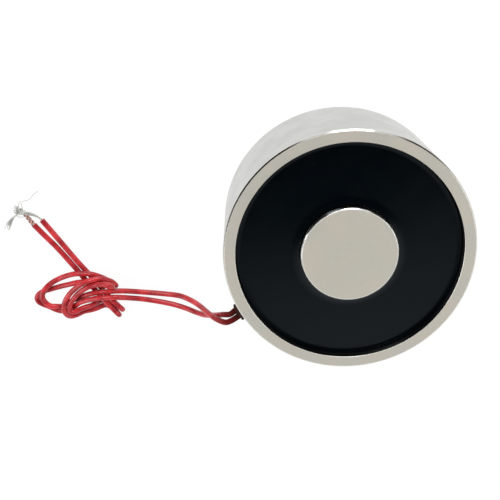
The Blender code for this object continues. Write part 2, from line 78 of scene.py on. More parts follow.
class Signal:
    """A shader socket that adds a Math node for each operator it is used with."""

    def __init__(self, recipe: "Recipe", socket: bpy.types.NodeSocket) -> None:
        """Wrap one output socket.

        Args:
            recipe: The material's recipe that gets the Math nodes.
            socket: The output socket to wrap.
        """
        self.recipe = recipe
        self.socket = socket

    def _math(self, operation: str, *values: "Signal | float", clamp: bool = False) -> "Signal":
        """Add one Math node.

        Args:
            operation: The node's operation.
            values: Its inputs, in order.
            clamp: Whether the result is kept from 0 to 1.

        Returns:
            The node's result.
        """
        settings = {"operation": operation, "use_clamp": clamp}
        node = self.recipe.add("ShaderNodeMath", settings, dict(enumerate(values)))
        return Signal(self.recipe, node.outputs[0])

    def __add__(self, other: "Signal | float") -> "Signal":
        """Return self + other."""
        return self._math('ADD', self, other)

    __radd__ = __add__

    def __sub__(self, other: "Signal | float") -> "Signal":
        """Return self - other."""
        return self._math('SUBTRACT', self, other)

    def __rsub__(self, other: float) -> "Signal":
        """Return other - self."""
        return self._math('SUBTRACT', other, self)

    def __mul__(self, other: "Signal | float") -> "Signal":
        """Return self * other."""
        return self._math('MULTIPLY', self, other)

    __rmul__ = __mul__

    def __truediv__(self, other: "Signal | float") -> "Signal":
        """Return self / other."""
        return self._math('DIVIDE', self, other)

    def __pow__(self, power: float) -> "Signal":
        """Return self to a power."""
        return self._math('POWER', self, power)

    def sine(self) -> "Signal":
        """Return the sine of an angle in radians."""
        return self._math('SINE', self)

    def kept(self) -> "Signal":
        """Return the value kept from 0 to 1."""
        return self._math('ADD', self, 0.0, clamp=True)

    def ramp(self, low: float, high: float) -> "Signal":
        """Return a smooth step from 0 at one value to 1 at another.

        Args:
            low: The value that becomes 0.
            high: The value that becomes 1.

        Returns:
            The step, from 0 to 1.
        """
        node = self.recipe.add("ShaderNodeMapRange", {"interpolation_type": 'SMOOTHSTEP'},
                               {"Value": self, "From Min": low, "From Max": high})
        return Signal(self.recipe, node.outputs["Result"])


class Recipe:
    """Builds the nodes of one material or of the world."""

    def __init__(self, tree: bpy.types.NodeTree) -> None:
        """Start from an empty node tree.

        Args:
            tree: The tree to fill.
        """
        self.tree = tree
        tree.nodes.clear()

    def add(self, kind: str, settings: dict | None = None, inputs: dict | None = None) -> bpy.types.Node:
        """Add one node.

        Args:
            kind: The node's type.
            settings: Its own settings, set before its inputs. A ramp takes "stops", as pairs of a
                position and a colour.
            inputs: The value, colour or link of each socket, by the socket's name or number.

        Returns:
            The new node.
        """
        node = self.tree.nodes.new(kind)
        for name, value in (settings or {}).items():
            if name == "stops":
                elements = node.color_ramp.elements
                while len(elements) < len(value):
                    elements.new(1.0)
                for element, (position, colour) in zip(elements, value):
                    element.position = position
                    element.color = (*colour, 1.0)
            else:
                setattr(node, name, value)
        for name, value in (inputs or {}).items():
            socket = node.inputs[name]
            if isinstance(value, Signal):
                self.tree.links.new(value.socket, socket)
            elif isinstance(value, bpy.types.NodeSocket):
                self.tree.links.new(value, socket)
            elif isinstance(value, tuple) and len(value) == 3 and socket.type == 'RGBA':
                socket.default_value = (*value, 1.0)
            else:
                socket.default_value = value
        return node

    def place(self) -> bpy.types.NodeSocket:
        """Return the Object coordinates, in metres."""
        return self.add("ShaderNodeTexCoord").outputs["Object"]

    def parts(self, vector: bpy.types.NodeSocket) -> tuple[Signal, ...]:
        """Return the X, Y and Z part of a vector."""
        split = self.add("ShaderNodeSeparateXYZ", None, {0: vector})
        return tuple(Signal(self, split.outputs[axis]) for axis in range(3))

    def distance(self, place: bpy.types.NodeSocket, point: tuple[float, float, float]) -> Signal:
        """Return the distance between the coordinates and a point."""
        node = self.add("ShaderNodeVectorMath", {"operation": 'DISTANCE'}, {0: place, 1: point})
        return Signal(self, node.outputs["Value"])

    def noise(self, place: bpy.types.NodeSocket, size: float, detail: float = 2.0,
              roughness: float = 0.5) -> Signal:
        """Return a noise pattern.

        Args:
            place: The coordinates, in metres.
            size: The size of one feature, in metres.
            detail: How many finer layers it has.
            roughness: How strong they are.

        Returns:
            The pattern, mostly from 0.3 to 0.7.
        """
        node = self.add("ShaderNodeTexNoise", None, {"Vector": place, "Scale": 1.0 / size,
                                                     "Detail": detail, "Roughness": roughness})
        return Signal(self, node.outputs["Fac"])

    def mixed(self, factor: Signal | float, first: object, second: object) -> bpy.types.NodeSocket:
        """Mix two colours.

        Args:
            factor: The share of the second colour.
            first: The first colour, or the socket that gives it.
            second: The second colour, or the socket that gives it.

        Returns:
            The mixed colour.
        """
        node = self.add("ShaderNodeMix", {"data_type": 'RGBA'}, {0: factor, 6: first, 7: second})
        return node.outputs[2]

    def bump(self, height: Signal, depth: float, strength: float = 1.0) -> bpy.types.NodeSocket:
        """Turn a height pattern into a normal.

        Args:
            height: The pattern, from 0 to 1.
            depth: The distance between its low and high points, in metres.
            strength: The share of the effect that is used.

        Returns:
            The bumped normal.
        """
        node = self.add("ShaderNodeBump", None, {"Height": height, "Distance": depth, "Strength": strength})
        return node.outputs["Normal"]

    def surface(self, inputs: dict) -> None:
        """End the material in one Principled BSDF.

        Args:
            inputs: The value or link of each of its sockets.
        """
        shader = self.add("ShaderNodeBsdfPrincipled", None, inputs)
        self.add("ShaderNodeOutputMaterial", None, {"Surface": shader.outputs["BSDF"]})


def new_material(name: str) -> tuple[bpy.types.Material, Recipe]:
    """Make an empty material.

    Args:
        name: The material's name.

    Returns:
        The material and the recipe for its nodes.
    """
    material = bpy.data.materials.new(name)
    material.use_nodes = True
    return material, Recipe(material.node_tree)


# Finishes


@dataclass(frozen=True)
class SatinNickel:
    """Nickel plating on steel: ground satin faces with soft warm patches, a cooler wall and polished edges.

    The face ends in a painted highlight, a near-white ring next to its edge, and the inside of a bore is
    dark, dull and not metallic below a plated lip.
    """

    name: str
    cool: tuple[float, float, float]
    warm: tuple[float, float, float]
    edge_radius: float
    edge_height: float
    edge_width: float
    polished_inside: float = 0.0
    polished_above: float = 0.0
    dark_bore_below: float = 0.0
    polished_side: bool = False
    painted_glint_width: float = 0.0
    painted_glint: tuple[float, float, float] = (0.97, 0.96, 0.91)
    dark_bore_colour: tuple[float, float, float] = (0.0010, 0.0016, 0.0020)
    dark_bore_roughness: float = 0.40
    side: tuple[float, float, float] = (0.617, 0.617, 0.602)
    side_cloud: tuple[float, float, float] = (0.574, 0.574, 0.552)
    side_metallic: float = 0.85
    side_roughness: float = 0.36
    metallic: float = 0.55
    roughness: float = 0.46
    edge_roughness: float = 0.14
    edge_colour: tuple[float, float, float] = (0.66, 0.65, 0.61)
    ring_width: float = 0.22 * MM
    ring_depth: float = 0.0012 * MM
    patch_size: float = 9.0 * MM
    patch_edges: tuple[float, float] = (0.35, 0.66)
    patch_sheen: float = 0.05
    grain_size: float = 0.35 * MM
    grain_depth: float = 0.003 * MM
    grain_sheen: float = 0.10
    mark: tuple[float, float, float] = (0.93, 0.93, 0.93)
    mark_edges: tuple[float, float] = (0.34, 0.62)

    @property
    def blend(self) -> float:
        """Return the width over which one finish becomes the next."""
        return self.edge_width / 20

    def inside(self, radius: Signal, height: Signal) -> Signal:
        """Return the mask of the bore's wall, from the distance to the axis and the height."""
        near = 1.0 - radius.ramp(self.polished_inside, self.polished_inside + self.blend)
        return near * height.ramp(self.polished_above - self.blend, self.polished_above)

    def edge(self, radius: Signal, height: Signal) -> Signal:
        """Return the mask of the polished parts.

        Args:
            radius: The distance from the axis.
            height: The height above the back.

        Returns:
            1 on the chamfer and on a polished bore or side, and 0 elsewhere.
        """
        inner, lower = self.edge_radius - self.edge_width, self.edge_height - self.edge_width
        chamfer = radius.ramp(inner, inner + self.blend)
        if not self.polished_side:
            chamfer = chamfer * height.ramp(lower, lower + self.blend)
        return (chamfer + self.inside(radius, height)).kept()

    def material(self) -> bpy.types.Material:
        """Build the finish.

        Returns:
            The new material.
        """
        material, recipe = new_material(self.name)
        place = recipe.place()
        east, north, height = recipe.parts(place)
        radius = (east * east + north * north) ** 0.5
        edge = self.edge(radius, height)
        across = recipe.add("ShaderNodeTexNoise", {"noise_dimensions": '1D'},
                            {"W": (radius + height) / self.ring_width, "Scale": 1.0, "Detail": 3.0})
        rings = Signal(recipe, across.outputs["Fac"])
        patches = recipe.noise(place, self.patch_size, 4.0, 0.55).ramp(*self.patch_edges)
        grain = recipe.noise(place, self.grain_size, 3.0, 0.6)
        top = height.ramp(self.edge_height - 2 * self.edge_width, self.edge_height - self.edge_width)
        # Painted highlight: a ring of the face next to the chamfer is coloured near white, standing in for
        # the bright line that the edge reflects.
        ring = self.edge_radius - self.edge_width - self.painted_glint_width
        face = recipe.mixed(radius.ramp(ring, ring + self.blend), recipe.mixed(patches, self.cool, self.warm),
                            self.painted_glint)
        colour = recipe.mixed(top, recipe.mixed(patches, self.side, self.side_cloud), face)
        marks = (rings * 0.5 + grain * 0.5).ramp(*self.mark_edges)
        shade = recipe.mixed(marks, self.mark, (1.0, 1.0, 1.0))
        tinted = recipe.add("ShaderNodeMix", {"data_type": 'RGBA', "blend_type": 'MULTIPLY'},
                            {0: 1.0, 6: colour, 7: shade})
        normal = recipe.bump(rings * (self.ring_depth / self.grain_depth) + grain, self.grain_depth)
        base = self.side_roughness + top * (self.roughness - self.side_roughness)
        metal = self.side_metallic + top * (self.metallic - self.side_metallic)
        sheen = base + (patches - 0.5) * self.patch_sheen + (grain - 0.5) * self.grain_sheen
        # The bore's wall, from its floor up to a thin plated lip under the rim, is coloured near black, dull
        # and not metallic.
        plated_lip = height.ramp(self.dark_bore_below - self.blend, self.dark_bore_below)
        dark_bore = self.inside(radius, height) * (1.0 - plated_lip)
        plated = recipe.mixed(edge, tinted.outputs[2], self.edge_colour)
        polish = sheen + edge * (self.edge_roughness - base)
        recipe.surface({"Base Color": recipe.mixed(dark_bore, plated, self.dark_bore_colour),
                        "Metallic": (metal + edge * (1.0 - metal)) * (1.0 - dark_bore),
                        "Roughness": polish + dark_bore * (self.dark_bore_roughness - self.edge_roughness),
                        "Normal": normal})
        return material


@dataclass(frozen=True)
class CastResin:
    """Black casting resin: a smooth poured surface with faint ripples and a few specks."""

    name: str = "black_casting_resin"
    colour: tuple[float, float, float] = (0.0005, 0.0020, 0.0034)
    speck: tuple[float, float, float] = (0.035, 0.036, 0.038)
    roughness: float = 0.16
    ripple_size: float = 14.0 * MM
    ripple_depth: float = 0.05 * MM
    haze_sheen: float = 0.10
    speck_size: float = 0.8 * MM
    speck_edges: tuple[float, float] = (0.05, 0.13)
    speck_share: tuple[float, float] = (0.90, 0.93)
    speck_sheen: float = 0.3
    specular: float = 0.50
    gloss_tint: tuple[float, float, float, float] = (0.84, 0.95, 1.0, 1.0)

    def material(self) -> bpy.types.Material:
        """Build the finish.

        Returns:
            The new material.
        """
        material, recipe = new_material(self.name)
        place = recipe.place()
        ripples = recipe.noise(place, self.ripple_size, 1.0, 0.4)
        haze = recipe.noise(place, self.ripple_size / 2, 4.0, 0.6)
        cells = recipe.add("ShaderNodeTexVoronoi", None, {"Vector": place, "Scale": 1.0 / self.speck_size})
        lone = recipe.add("ShaderNodeSeparateColor", None, {0: cells.outputs["Color"]}).outputs[0]
        dust = 1.0 - Signal(recipe, cells.outputs["Distance"]).ramp(*self.speck_edges)
        dust = dust * Signal(recipe, lone).ramp(*self.speck_share)
        sheen = self.roughness + (haze - 0.5) * self.haze_sheen + dust * self.speck_sheen
        recipe.surface({"Base Color": recipe.mixed(dust, self.colour, self.speck), "Roughness": sheen,
                        "Specular IOR Level": self.specular, "Specular Tint": self.gloss_tint,
                        "Normal": recipe.bump(ripples, self.ripple_depth)})
        return material


@dataclass(frozen=True)
class SoftInsulation:
    """Extruded red lead insulation: satin and slightly uneven in colour, with painted shade darkening it next
    to the magnet.
    """

    # Painted shade: the insulation is painted near black at the sleeve's mouth and dark brown-red beyond it,
    # fading into the red, where the magnet's body shades the leads.
    painted_shade_centre: tuple[float, float, float]
    painted_shade_core_reach: float = 0.5 * MM
    painted_shade_reach: float = 5.0 * MM
    painted_shade_end: float = 18.0 * MM
    deepest_painted_shade: tuple[float, float, float] = (0.040, 0.005, 0.003)
    painted_shade: tuple[float, float, float] = (0.16, 0.008, 0.008)
    name: str = "red_lead_insulation"
    colour: tuple[float, float, float] = (0.79, 0.050, 0.060)
    deep: tuple[float, float, float] = (0.43, 0.017, 0.025)
    roughness: float = 0.26
    specular: float = 0.50
    dull_roughness: float = 0.7
    dull_specular: float = 0.06
    cloud_size: float = 5.0 * MM
    cloud_edges: tuple[float, float] = (0.32, 0.68)
    mark_size: float = 0.5 * MM
    mark_depth: float = 0.012 * MM
    mark_sheen: float = 0.2

    def material(self) -> bpy.types.Material:
        """Build the finish.

        Returns:
            The new material.
        """
        material, recipe = new_material(self.name)
        place = recipe.place()
        clouds = recipe.noise(place, self.cloud_size, 3.0, 0.6).ramp(*self.cloud_edges)
        marks = recipe.noise(place, self.mark_size, 3.0, 0.6)
        # Painted shade: dark near the sleeve's mouth, with a dull surface there, fading into the red over the
        # reaches above.
        away = recipe.distance(place, self.painted_shade_centre)
        unshaded = away.ramp(self.painted_shade_reach, self.painted_shade_end)
        dark = recipe.mixed(away.ramp(self.painted_shade_core_reach, self.painted_shade_reach), self.deepest_painted_shade, self.painted_shade)
        red = recipe.mixed(clouds, self.deep, self.colour)
        colour = recipe.mixed(unshaded, dark, red)
        normal = recipe.bump(marks, self.mark_depth)
        sheen = self.roughness + (marks - 0.5) * self.mark_sheen
        dull, glossy = (recipe.add("ShaderNodeBsdfPrincipled", None, {
            "Base Color": colour, "Roughness": roughness, "Specular IOR Level": specular, "Normal": normal,
        }) for roughness, specular in ((self.dull_roughness, self.dull_specular), (sheen, self.specular)))
        mix = recipe.add("ShaderNodeMixShader", None, {0: unshaded, 1: dull.outputs[0], 2: glossy.outputs[0]})
        recipe.add("ShaderNodeOutputMaterial", None, {"Surface": mix.outputs[0]})
        return material


@dataclass(frozen=True)
class TinnedCopper:
    """Tinned fine copper wire, with copper showing through where the insulation was stripped."""

    name: str
    worn_at: tuple[float, float, float]
    worn_reach: float
    tin: tuple[float, float, float] = (0.72, 0.72, 0.69)
    copper: tuple[float, float, float] = (0.72, 0.42, 0.36)
    metallic: float = 0.45
    roughness: float = 0.36
    patch_size: float = 1.2 * MM

    def material(self) -> bpy.types.Material:
        """Build the finish.

        Returns:
            The new material.
        """
        material, recipe = new_material(self.name)
        place = recipe.place()
        worn = 1.0 - recipe.distance(place, self.worn_at).ramp(self.worn_reach * 0.7, self.worn_reach)
        bare = recipe.noise(place, self.patch_size, 2.0).ramp(0.40, 0.60)
        marks = recipe.noise(place, self.patch_size / 6, 2.0)
        recipe.surface({"Base Color": recipe.mixed((worn * (0.5 + bare)).kept(), self.tin, self.copper),
                        "Metallic": self.metallic, "Roughness": self.roughness + (marks - 0.5) * 0.3})
        return material


@dataclass(frozen=True)
class VarnishedSleeving:
    """Woven glass sleeving, dark with varnish."""

    name: str
    colour: tuple[float, float, float] = (0.026, 0.008, 0.006)
    thread: tuple[float, float, float] = (0.080, 0.020, 0.016)
    roughness: float = 0.7
    specular: float = 0.15
    plait_size: float = 0.55 * MM
    plait_slant: float = 1.4
    plait_depth: float = 0.06 * MM
    blotch_size: float = 1.5 * MM
    blotch_sheen: float = 0.4

    def material(self) -> bpy.types.Material:
        """Build the finish.

        Returns:
            The new material.
        """
        material, recipe = new_material(self.name)
        place = recipe.place()
        east, north, height = recipe.parts(place)
        step = math.tau / self.plait_size
        one = (east + north + height * self.plait_slant) * step
        two = (east + north - height * self.plait_slant) * step
        plait = one.sine() * two.sine() * 0.5 + 0.5
        blotches = recipe.noise(place, self.blotch_size, 3.0)
        recipe.surface({"Base Color": recipe.mixed((plait * blotches * 1.6).kept(), self.colour, self.thread),
                        "Roughness": self.roughness + (blotches - 0.5) * self.blotch_sheen,
                        "Specular IOR Level": self.specular,
                        "Normal": recipe.bump(plait, self.plait_depth)})
        return material


@dataclass(frozen=True)
class PlainStock:
    """An even material with a fine grain, for the pieces that the resin hides."""

    name: str
    colour: tuple[float, float, float]
    deep: tuple[float, float, float]
    roughness: float
    metallic: float = 0.0
    grain_size: float = 1.2 * MM
    grain_depth: float = 0.02 * MM

    def material(self) -> bpy.types.Material:
        """Build the finish.

        Returns:
            The new material.
        """
        material, recipe = new_material(self.name)
        grain = recipe.noise(recipe.place(), self.grain_size, 3.0)
        recipe.surface({"Base Color": recipe.mixed(grain.ramp(0.35, 0.65), self.deep, self.colour),
                        "Roughness": self.roughness + (grain - 0.5) * 0.2, "Metallic": self.metallic,
                        "Normal": recipe.bump(grain, self.grain_depth)})
        return material


@dataclass(frozen=True)
class WoundWire:
    """Enamelled wire wound in level layers, with painted shade in the grooves between turns."""

    name: str = "enamelled_copper_wire"
    colour: tuple[float, float, float] = (0.60, 0.22, 0.08)
    painted_groove_shade: tuple[float, float, float] = (0.16, 0.05, 0.02)
    wire_width: float = 0.45 * MM
    roughness: float = 0.30

    def material(self) -> bpy.types.Material:
        """Build the finish.

        Returns:
            The new material.
        """
        material, recipe = new_material(self.name)
        height = recipe.parts(recipe.place())[2]
        crown = (height * (math.tau / self.wire_width)).sine() * 0.5 + 0.5
        # Painted shade: the grooves between turns are coloured dark.
        recipe.surface({"Base Color": recipe.mixed(crown.ramp(0.0, 0.5), self.painted_groove_shade, self.colour),
                        "Metallic": 0.9, "Roughness": self.roughness + (1.0 - crown) * 0.2,
                        "Normal": recipe.bump(crown, self.wire_width / 3)})
        return material


class Slot(Enum):
    """Names of material slots for the new pieces; nothing in this script uses them."""

    POT = "plated_steel"
    POLE = "plated_pole"
    RESIN = "black_resin"
    SLEEVING = "dark_sleeving"
    INSULATION = "red_insulation"
    STRANDS = "tinned_strands"


# Modelling helpers


def spun(profile: Sequence[tuple[float, float]], steps: int, closed: bool = True) -> bmesh.types.BMesh:
    """Spin a profile about Z.

    Args:
        profile: The points of the profile, as radius and height.
        steps: How many steps make the full turn.
        closed: Whether the last point joins the first one.

    Returns:
        The turned shape, with its faces pointing out.
    """
    shape = bmesh.new()
    points = [shape.verts.new((radius, 0.0, height)) for radius, height in profile]
    edges = [shape.edges.new(pair) for pair in zip(points, points[1:])]
    if closed:
        edges.append(shape.edges.new((points[-1], points[0])))
    bmesh.ops.spin(shape, geom=[*points, *edges], cent=(0.0, 0.0, 0.0), axis=(0.0, 0.0, 1.0),
                   angle=math.tau, steps=steps, use_merge=True)
    bmesh.ops.remove_doubles(shape, verts=shape.verts, dist=WELD)
    bmesh.ops.recalc_face_normals(shape, faces=shape.faces)
    return shape


def bevel_circle(shape: bmesh.types.BMesh, radius: float, height: float, width: float,
                 segments: int = 1) -> None:
    """Bevel one circular edge of a turned shape.

    Args:
        shape: The turned shape.
        radius: The circle's radius.
        height: The circle's height.
        width: How far the bevel reaches along each face.
        segments: How many faces it has across.
    """
    def on_circle(point: bmesh.types.BMVert) -> bool:
        """Return whether a point lies on the circle."""
        beside = abs(math.hypot(point.co.x, point.co.y) - radius)
        return max(beside, abs(point.co.z - height)) < 10 * WELD

    edges = [edge for edge in shape.edges if all(on_circle(point) for point in edge.verts)]
    bmesh.ops.bevel(shape, geom=edges, offset=width, offset_type='OFFSET', segments=segments,
                    profile=0.5, affect='EDGES', material=-1)


def chamfer_circle(shape: bmesh.types.BMesh, radius: float, height: float, width: float,
                   sides: tuple[int, int], softness: float) -> None:
    """Chamfer one square circular edge and break the two edges that this leaves.

    Args:
        shape: The turned shape.
        radius: The circle's radius.
        height: The circle's height.
        width: The chamfer's width along each face.
        sides: Which way the faces run from the circle, as signs along the radius and the height.
        softness: The width of the two small bevels.
    """
    bevel_circle(shape, radius, height, width)
    bevel_circle(shape, radius + sides[0] * width, height, softness, 2)
    bevel_circle(shape, radius, height + sides[1] * width, softness, 2)


def finished(name: str, shape: bmesh.types.BMesh, material: bpy.types.Material) -> bpy.types.Object:
    """Turn a bmesh into a shaded object.

    Args:
        name: The object's name.
        shape: The shape, which is freed.
        material: Its material.

    Returns:
        The new object, linked to the scene.
    """
    mesh = bpy.data.meshes.new(name)
    shape.to_mesh(mesh)
    shape.free()
    mesh.shade_smooth()
    mesh.set_sharp_from_angle(angle=SHARP_ANGLE)
    mesh.materials.append(material)
    piece = bpy.data.objects.new(name, mesh)
    bpy.context.scene.collection.objects.link(piece)
    return piece


def drilled(piece: bpy.types.Object, drill: bpy.types.Object) -> None:
    """Cut a piece with a drill, and remove the drill.

    Args:
        piece: The piece to cut.
        drill: The closed shape to take away.
    """
    cut = piece.modifiers.new("Drill", 'BOOLEAN')
    cut.operation = 'DIFFERENCE'
    cut.solver = 'EXACT'
    cut.object = drill
    bpy.context.view_layer.update()
    result = bpy.data.meshes.new_from_object(piece.evaluated_get(bpy.context.evaluated_depsgraph_get()))
    piece.modifiers.clear()
    piece.data = result
    result.set_sharp_from_angle(angle=SHARP_ANGLE)
    bpy.data.objects.remove(drill, do_unlink=True)


def wire_object(name: str, lines: Iterable[Sequence[Vector]], radius: float, sides: int,
                material: bpy.types.Material) -> bpy.types.Object:
    """Return round wires along lines of points, as one curve object.

    Args:
        name: The object's name.
        lines: One list of points for each wire.
        radius: The wires' radius.
        sides: The number of sides round a wire, an even number from 4.
        material: Their material.

    Returns:
        The new object, linked to the scene.
    """
    curve = bpy.data.curves.new(name, 'CURVE')
    curve.dimensions = '3D'
    curve.bevel_depth = radius
    curve.bevel_resolution = (sides - 4) // 2
    curve.use_fill_caps = True
    for line in lines:
        spline = curve.splines.new('POLY')
        spline.points.add(len(line) - 1)
        for spot, point in zip(spline.points, line):
            spot.co = (*point, 1.0)
    curve.materials.append(material)
    piece = bpy.data.objects.new(name, curve)
    bpy.context.scene.collection.objects.link(piece)
    return piece


def smooth_line(points: Sequence[Vector], spacing: float) -> list[Vector]:
    """Return points on a centripetal Catmull-Rom curve.

    Args:
        points: The points that the curve passes through.
        spacing: The longest stretch between two points of the result.

    Returns:
        The points on the curve, with both ends.
    """
    route = [points[0] * 2 - points[1], *points, points[-1] * 2 - points[-2]]
    line = []
    for i in range(1, len(route) - 2):
        before, start, end, after = route[i - 1:i + 3]
        knot_1 = math.sqrt((start - before).length)
        knot_2 = knot_1 + math.sqrt((end - start).length)
        knot_3 = knot_2 + math.sqrt((after - end).length)
        pieces = max(1, math.ceil((end - start).length / spacing))
        for piece in range(pieces):
            t = knot_1 + (knot_2 - knot_1) * piece / pieces
            a_1 = before.lerp(start, t / knot_1)
            a_2 = start.lerp(end, (t - knot_1) / (knot_2 - knot_1))
            a_3 = end.lerp(after, (t - knot_2) / (knot_3 - knot_2))
            b_1 = a_1.lerp(a_2, t / knot_2)
            b_2 = a_2.lerp(a_3, (t - knot_1) / (knot_3 - knot_1))
            line.append(b_1.lerp(b_2, (t - knot_1) / (knot_2 - knot_1)))
    line.append(points[-1].copy())
    return line


def line_length(line: Sequence[Vector]) -> float:
    """Return the length of a line of points."""
    return sum((end - start).length for start, end in zip(line, line[1:]))


# The studio


@dataclass(frozen=True)
class Lamp:
    """One soft box."""

    name: str
    place: tuple[float, float, float]
    target: tuple[float, float, float]
    size: float
    radiance: float

    def build(self) -> None:
        """Hang the soft box and point it at its target."""
        light = bpy.data.lights.new(self.name, 'AREA')
        light.shape = 'SQUARE'
        light.size = self.size
        light.energy = self.radiance * math.pi * self.size ** 2
        box = bpy.data.objects.new(self.name, light)
        aim = Vector(self.target) - Vector(self.place)
        box.matrix_world = Matrix.Translation(self.place) @ aim.to_track_quat('-Z', 'Y').to_matrix().to_4x4()
        bpy.context.scene.collection.objects.link(box)


@dataclass
class Studio:
    """The camera, the pale floor, the room and the soft boxes."""

    camera_place: Vector = field(default_factory=lambda: Vector((-0.0341, 0.0854, 0.2563)))
    camera_forward: Vector = field(default_factory=lambda: Vector((0.0112, -0.3570, -0.9340)))
    camera_up: Vector = field(default_factory=lambda: Vector((0.0043, 0.9341, -0.3570)))
    lens: float = 53.784
    floor_radius: float = 3.0
    floor_colour: tuple[float, float, float] = (0.70, 0.70, 0.70)
    floor_glow: float = 0.86
    floor_strength: float = 1.09
    room_lean: tuple[float, float] = (0.0, 0.25)
    room_stops: tuple[tuple[float, float], ...] = (
        (0.0, 0.60), (0.15, 0.60), (0.35, 0.85), (0.50, 0.85),
        (0.64, 0.46), (0.77, 0.31), (0.84, 0.17), (0.87, 0.01))
    screen_depth: float = 0.96
    screens: tuple[tuple[tuple[float, float, float], float, float], ...] = (
        ((-0.87, 0.46, 0.17), math.radians(28.0), math.radians(40.0)),
        ((0.86, 0.49, 0.05), math.radians(20.0), math.radians(30.0)))

    def camera(self) -> bpy.types.Object:
        """Set up the camera of the photograph's view.

        Returns:
            The camera.
        """
        data = bpy.data.cameras.new("camera")
        data.lens = self.lens
        data.clip_start = 0.01
        camera = bpy.data.objects.new("camera", data)
        forward = self.camera_forward.normalized()
        side = forward.cross(self.camera_up).normalized()
        up = side.cross(forward)
        turn = Matrix((side, up, -forward)).transposed().to_4x4()
        camera.matrix_world = Matrix.Translation(self.camera_place) @ turn
        bpy.context.scene.collection.objects.link(camera)
        bpy.context.scene.camera = camera
        return camera

    def floor(self) -> bpy.types.Object:
        """Lay the white floor, which keeps a soft shadow.

        Returns:
            The floor.
        """
        shape = bmesh.new()
        bmesh.ops.create_circle(shape, cap_ends=True, segments=64, radius=self.floor_radius)
        material, recipe = new_material("white_floor")
        rays = recipe.add("ShaderNodeLightPath")
        camera, glossy, through = (Signal(recipe, rays.outputs[name]) for name in
                                   ("Is Camera Ray", "Is Glossy Ray", "Is Transmission Ray"))
        paint = recipe.add("ShaderNodeBsdfDiffuse", None, {"Color": self.floor_colour})
        glow = recipe.add("ShaderNodeEmission", None, {"Strength": self.floor_strength})
        seen = (camera + glossy + through).kept() * self.floor_glow
        mix = recipe.add("ShaderNodeMixShader", None, {0: seen, 1: paint.outputs[0], 2: glow.outputs[0]})
        recipe.add("ShaderNodeOutputMaterial", None, {"Surface": mix.outputs[0]})
        floor = finished("floor", shape, material)
        return floor

    def room(self) -> None:
        """Light the world from the sides, with a dark ceiling and a dark screen low at each side.

        Each screen has a direction, the angle within which it is dark and the angle at which it ends.
        """
        world = bpy.data.worlds.new("room")
        bpy.context.scene.world = world
        world.use_nodes = True
        recipe = Recipe(world.node_tree)
        direction = recipe.add("ShaderNodeTexCoord").outputs["Generated"]
        east, north, up = recipe.parts(direction)
        leaning = up + east * self.room_lean[0] + north * self.room_lean[1]
        stops = [(position, (level, level, level)) for position, level in self.room_stops]
        ramp = recipe.add("ShaderNodeValToRGB", {"stops": stops}, {0: leaning})
        screened = 0.0
        for toward, inner, outer in self.screens:
            facing = recipe.add("ShaderNodeVectorMath", {"operation": 'DOT_PRODUCT'},
                                {0: direction, 1: Vector(toward).normalized()})
            screened += Signal(recipe, facing.outputs["Value"]).ramp(math.cos(outer), math.cos(inner))
        strength = 1.0 - screened * self.screen_depth
        sky = recipe.add("ShaderNodeBackground", None, {0: ramp.outputs[0], 1: strength})
        recipe.add("ShaderNodeOutputWorld", None, {0: sky.outputs[0]})

    def lamps(self) -> list[Lamp]:
        """List the soft boxes.

        Returns:
            One at each side, one behind the magnet and one above it.
        """
        return [
            Lamp("left_box", (-0.80, -0.10, 0.50), (0.0, 0.0, 0.02), 0.60, 2.4),
            Lamp("right_box", (0.80, 0.05, 0.50), (0.0, 0.0, 0.02), 0.60, 2.4),
            Lamp("rear_box", (0.10, 0.92, 0.38), (0.0, 0.0, 0.02), 0.40, 5.0),
            Lamp("top_box", (-0.25, 0.60, 0.90), (-0.05, 0.0, 0.0), 0.31, 9.5),
        ]

    def light(self) -> None:
        """Build the floor, the room and the soft boxes."""
        self.floor()
        self.room()
        for lamp in self.lamps():
            lamp.build()
        bpy.context.scene.view_settings.view_transform = 'Standard'


# The magnet's body


@dataclass
class Body:
    """The sizes that the pieces of the body share, all in metres."""

    radius: float
    height: float
    clearance: float = 0.3 * MM
    wall: float = 3.9 * MM
    back: float = 8.0 * MM
    pole_radius: float = 15.5 * MM
    spigot_radius: float = 9.0 * MM
    stake_width: float = 1.2 * MM
    steps: int = 288

    @property
    def bore(self) -> float:
        """Return the radius of the pot's bore."""
        return self.radius - self.wall


@dataclass
class Exit:
    """The hole in the pot's wall and the place of the leads in it, all in metres."""

    body: Body
    azimuth: float = math.radians(214.6)
    depth: float = 10.0 * MM
    lead_spacing: float = 2.4 * MM
    lead_radius: float = 1.0 * MM
    sleeve_wall: float = 0.5 * MM
    sleeve_reach: float = 3.0 * MM
    sleeve_lip: float = 0.05 * MM

    @property
    def height(self) -> float:
        """Return the height of the hole's axis."""
        return self.body.height - self.depth

    @property
    def sleeve_bore(self) -> float:
        """Return the radius of the sleeve's bore."""
        return self.lead_spacing / 2 + self.lead_radius + self.body.clearance

    @property
    def mouth(self) -> float:
        """Return the distance of the sleeve's mouth from the magnet's axis."""
        return self.body.radius + self.sleeve_reach

    @property
    def hole_radius(self) -> float:
        """Return the radius of the hole in the wall."""
        return self.sleeve_bore + self.sleeve_wall + self.body.clearance

    def point(self, reach: float, offset: float, height: float) -> Vector:
        """Return a point by its place along and beside the hole's axis.

        Args:
            reach: The distance out from the magnet's axis.
            offset: The distance to the side.
            height: The height.

        Returns:
            The point.
        """
        outward = Vector((math.cos(self.azimuth), math.sin(self.azimuth), 0.0))
        sideways = Vector((-math.sin(self.azimuth), math.cos(self.azimuth), 0.0))
        return outward * reach + sideways * offset + Vector((0.0, 0.0, height))

    def along(self, reach: float) -> Matrix:
        """Return the transform that lays a shape's +Z along the hole, outwards.

        Args:
            reach: Where the shape's own origin comes to lie, as a distance from the magnet's axis.

        Returns:
            The transform.
        """
        turn = Matrix.Rotation(self.azimuth, 4, 'Z') @ Matrix.Rotation(math.pi / 2, 4, 'Y')
        return Matrix.Translation(self.point(reach, 0.0, self.height)) @ turn


